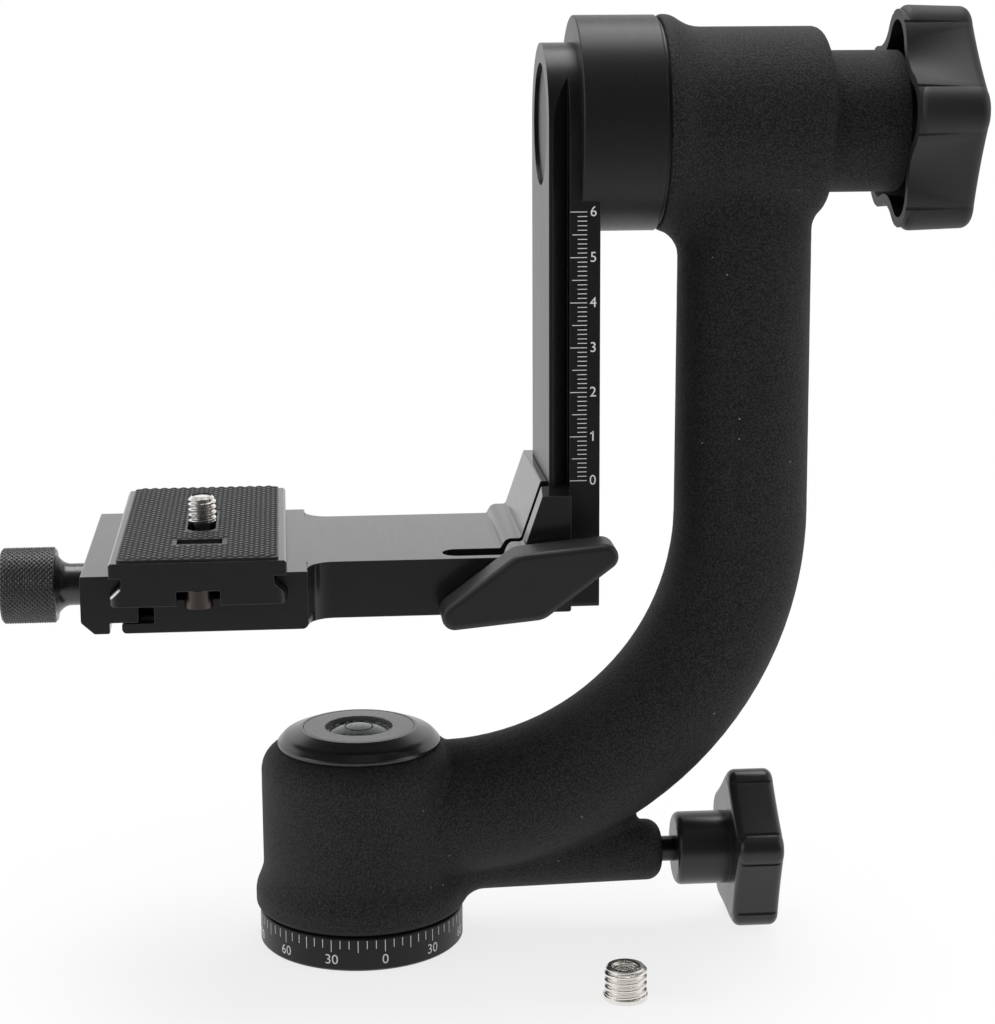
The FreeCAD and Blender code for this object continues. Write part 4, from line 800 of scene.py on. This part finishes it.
def makeCameraScrew():
    foot = padHigh.z + cameraThread["overPad"]
    headTop = screwLow.z + cameraThread["headHeight"]
    length = screwHigh.z - foot
    thread = grow("thread", threadTree, **{
        "Radius": cameraThread["radius"], "Length": length, "Depth": cameraThread["depth"],
        "Pitch": cameraThread["pitch"], "Chamfer": cameraThread["topRounding"],
        "Round steps": cameraThread["steps"][0], "Long steps": cameraThread["steps"][1],
        "Material": finishes["nickel"]})
    thread.data.transform(Matrix.Translation((0, 0, foot)))
    headRadius = (screwHigh.x - screwLow.x) / 2
    core = cameraThread["radius"] - cameraThread["topRounding"]
    body = lathe("body", fillet([
        (0, screwLow.z, 0), (headRadius, screwLow.z, 0.3 * mm), (headRadius, headTop, 0.2 * mm),
        (cameraThread["shankRadius"], headTop, 0), (cameraThread["shankRadius"], foot, 0),
        (cameraThread["radius"] - 0.1 * mm, foot, 0),
        (core, foot + 0.3 * mm, 0), (core, screwHigh.z - 0.25 * mm, 0.2 * mm),
        (0, screwHigh.z, 0)]), finishes["nickel"])
    screw = joinPieces("cameraScrewThreaded", finishes["nickel"], thread, body)
    screw.data.transform(Matrix.Translation((screwMiddle.x, screwMiddle.y, 0)))
    return screw


cameraScrew = makeCameraScrew()

stud = {"step": 1.15 * mm, "base": 1.06 * mm, "top": 0.62 * mm, "height": 0.32 * mm, "sunk": 0.02 * mm,
        "border": 0.9 * mm, "slot": (8.4 * mm, 24.4 * mm), "mark": (-22.0 * mm, 12.0 * mm, 7.0 * mm)}
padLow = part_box("rubber_pad")[0]
padMiddle = (padLow + padHigh) / 2


def makePadStuds():
    sides = padHigh.x - padLow.x, padHigh.y - padLow.y
    reach = [int((side / 2 - stud["border"]) / stud["step"]) for side in sides]
    studs = grow("padStuds", studTree, **{
        "Across": 2 * reach[0] + 1, "Along": 2 * reach[1] + 1, "Step": stud["step"], "Base": stud["base"],
        "Top": stud["top"], "Height": stud["height"] + stud["sunk"], "Slot width": stud["slot"][0],
        "Slot length": stud["slot"][1], "Mark place": stud["mark"][0], "Mark width": stud["mark"][1],
        "Mark length": stud["mark"][2], "Material": finishes["pad"]})
    studs.data.transform(Matrix.Translation((padMiddle.x, padMiddle.y, padHigh.z - stud["sunk"])))
    return studs


padStuds = makePadStuds()

bush = {"radius": 4.7625 * mm, "pitch": 1.5875 * mm, "depth": 0.78 * mm, "flange": 1.2 * mm,
        "boreRadius": 3.175 * mm, "boreDepth": 0.5 * mm, "borePitch": 1.27 * mm,
        "endChamfer": 0.7 * mm, "flangeCurve": 0.25 * mm,
        "inset": 0.02 * mm, "outerSteps": (129, 90), "innerSteps": (97, 90)}
bushLow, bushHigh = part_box("thread_adapter")
bushMiddle = (bushLow + bushHigh) / 2


def makeAdapter():
    height = bushHigh.z - bushLow.z
    outer = grow("outer", threadTree, **{
        "Radius": bush["radius"], "Length": height - bush["flange"], "Depth": bush["depth"],
        "Pitch": bush["pitch"], "Chamfer": bush["endChamfer"], "Round steps": bush["outerSteps"][0],
        "Long steps": bush["outerSteps"][1], "Material": finishes["nickel"]})
    outer.data.transform(Matrix.Translation((0, 0, bush["flange"])))
    inner = grow("inner", threadTree, **{
        "Radius": bush["boreRadius"], "Length": height, "Depth": bush["boreDepth"],
        "Pitch": bush["borePitch"], "Chamfer": 0.0, "Round steps": bush["innerSteps"][0],
        "Long steps": bush["innerSteps"][1], "Material": finishes["nickel"]})
    inner.data.flip_normals()
    flangeRadius = (bushHigh.x - bushLow.x) / 2
    rim = bush["radius"] - bush["endChamfer"]
    core = bush["radius"] - bush["depth"] - bush["inset"]
    body = lathe("body", fillet([
        (bush["boreRadius"], 0, 0), (flangeRadius, 0, bush["flangeCurve"]),
        (flangeRadius, bush["flange"], bush["flangeCurve"]),
        (core, bush["flange"], 0), (core, height - 0.1 * mm, 0), (rim, height, 0),
        (bush["boreRadius"], height, 0)]), finishes["nickel"])
    adapter = joinPieces("adapterThreaded", finishes["nickel"], outer, inner, body)
    adapter.data.transform(Matrix.Translation((bushMiddle.x, bushMiddle.y, bushLow.z)))
    return adapter


adapter = makeAdapter()

# ---- target ring on the level's glass
target = {"radius": 3.3 * mm, "line": 0.25 * mm, "sunk": 0.28 * mm, "steps": 64}
glassLow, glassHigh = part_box("level_glass")
glassMiddle = (glassLow + glassHigh) / 2


def makeTargetRing():   # dark line that the bubble is centred in, printed on the glass
    near, far = target["radius"] - target["line"] / 2, target["radius"] + target["line"] / 2
    top = glassHigh.z - target["sunk"]
    ring = lathe("targetRing", [(near, top), (near, top + 0.05 * mm), (far, top + 0.03 * mm),
                                (far, top - 0.02 * mm), (near, top)], finishes["moulded"], target["steps"])
    ring.data.transform(Matrix.Translation((glassMiddle.x, glassMiddle.y, 0)))
    return ring


targetRing = makeTargetRing()
print("turned and threaded pieces made")

# ---- what rides on what
nodeBody = {name: body for body, names in frame["record"]["behaviour"]["bodies"].items() for name in names}
for piece, node, slotName in (
        (railTicks, "cradle_rail", None), (railNumbers, "cradle_rail", None),
        (dialTicks, "pan_base", None), (dialNumbers, "pan_base", None),
        (clampKnob, "clamp_knob", "anodised"), (cameraScrew, "camera_screw", "nickel"),
        (adapter, "thread_adapter", "nickel"), (targetRing, "level_glass", None),
        (padStuds, "rubber_pad", None)):
    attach(piece, nodeBody[node])
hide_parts("clamp_knob")
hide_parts("camera_screw")
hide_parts("thread_adapter")


# ---- floor, light and camera
# the floor glows white to the eye and keeps only part of the object's shadow; in reflections its glow carries
# painted shade in front
def makeFloor():
    size = studio["floorSize"]
    mesh = bpy.data.meshes.new("floor")
    corners = [(-size, -size, 0), (size, -size, 0), (size, size, 0), (-size, size, 0)]
    mesh.from_pydata(corners, [], [(0, 1, 2, 3)])
    material, tree, shader = newMaterial("paleFloor", 0.75, 0.2)
    shader["Base Color"].default_value = (*studio["floorColour"], 1)
    place = objectPoint(tree)
    away = addNode(tree, "ShaderNodeVectorMath", {0: place, 1: studio["shadowMiddle"]},
                   operation="DISTANCE").outputs["Value"]
    fade = mapRange(tree, away, studio["fadeFrom"], studio["fadeTo"], studio["nearWhite"], 1.0,
                    interpolation_type="SMOOTHSTEP")
    back = addNode(tree, "ShaderNodeSeparateXYZ", {0: place}).outputs[1]
    # painted shade: the floor's glow as seen in reflections, darker in front
    mirror = mapRange(tree, back, *studio["mirrorReach"], *studio["floorMirror"],
                      interpolation_type="SMOOTHSTEP")
    ray = addNode(tree, "ShaderNodeLightPath").outputs
    clear = calc(tree, "MAXIMUM", ray["Is Camera Ray"], ray["Is Transmission Ray"])
    strength = calc(tree, "MAXIMUM", clear, calc(tree, "MULTIPLY", ray["Is Glossy Ray"], mirror))
    white = addNode(tree, "ShaderNodeEmission", {"Color": (1, 1, 1, 1), "Strength": strength})
    matt = tree.nodes["Principled BSDF"].outputs[0]
    share = calc(tree, "MAXIMUM", calc(tree, "MULTIPLY", fade, clear), ray["Is Glossy Ray"])
    mixed = addNode(tree, "ShaderNodeMixShader", {0: share, 1: matt, 2: white.outputs[0]})
    tree.links.new(mixed.outputs[0], tree.nodes["Material Output"].inputs["Surface"])
    mesh.materials.append(material)
    floor = addPiece("floor", mesh)
    floor.location.z = cadBounds[0][2] - studio["floorGap"]


def makeWorld():   # white to the eye and in reflections behind, shaded in front; a plain grey for soft light
    world = bpy.data.worlds.new("studio")
    bpy.context.scene.world = world
    world.use_nodes = True
    world.cycles.sampling_method = "NONE"
    tree = world.node_tree
    tree.nodes.clear()
    ray = addNode(tree, "ShaderNodeLightPath").outputs
    direction = addNode(tree, "ShaderNodeSeparateXYZ",
                        {0: addNode(tree, "ShaderNodeTexCoord").outputs["Generated"]}).outputs
    ahead = mapRange(tree, direction[1], *studio["frontReach"], studio["frontShade"], 1.0,
                     interpolation_type="SMOOTHSTEP")
    high = mapRange(tree, direction[2], *studio["highReach"], 1.0, studio["highShade"],
                    interpolation_type="SMOOTHSTEP")
    glossy = calc(tree, "MULTIPLY", ray["Is Glossy Ray"], calc(tree, "MULTIPLY", ahead, high))
    clear = calc(tree, "MAXIMUM", ray["Is Camera Ray"], ray["Is Transmission Ray"])
    soft = calc(tree, "MULTIPLY", ray["Is Diffuse Ray"], studio["worldLight"])
    seen = calc(tree, "MAXIMUM", glossy, clear)
    light = addNode(tree, "ShaderNodeBackground", {"Color": (1, 1, 1, 1),
                                                   "Strength": calc(tree, "MAXIMUM", seen, soft)})
    out = addNode(tree, "ShaderNodeOutputWorld")
    tree.links.new(light.outputs[0], out.inputs[0])


def makeLamp(name, power, size, place, target):
    lamp = bpy.data.lights.new(name, "AREA")
    lamp.energy = power
    lamp.shape = "RECTANGLE"
    lamp.size, lamp.size_y = size
    holder = addPiece(name, lamp)
    holder.location = place
    holder.rotation_euler = (Vector(target) - Vector(place)).to_track_quat("-Z", "Y").to_euler()


def makeCamera():
    camera = bpy.data.cameras.new("camera")
    camera.sensor_width = mainView["sensor"]
    camera.lens = mainView["focalLength"] * mainView["sensor"] / mainView["pictureHeight"]
    camera.clip_start = 0.01
    holder = addPiece("camera", camera)
    turn = Matrix.Rotation(mainView["yaw"], 3, "Z") @ Matrix.Rotation(mainView["pitch"], 3, "X") \
        @ Matrix.Rotation(mainView["roll"], 3, "Y")
    right, forward, up = (turn @ Vector(axis) for axis in ((1, 0, 0), (0, 1, 0), (0, 0, 1)))
    holder.rotation_euler = Matrix((right, up, -forward)).transposed().to_euler()
    holder.location = mainView["place"]
    bpy.context.scene.camera = holder


makeFloor()
makeWorld()
middle = tuple((low + high) / 2 for low, high in zip(*cadBounds))
makeLamp("topLamp", studio["topPower"], studio["topSize"], studio["topPlace"], middle)
makeLamp("leftLamp", studio["leftPower"], studio["sideSize"], studio["leftPlace"], middle)
makeLamp("rightLamp", studio["rightPower"], studio["sideSize"], studio["rightPlace"], middle)
makeCamera()
bpy.context.scene.view_settings.view_transform = "Standard"
print("studio set")
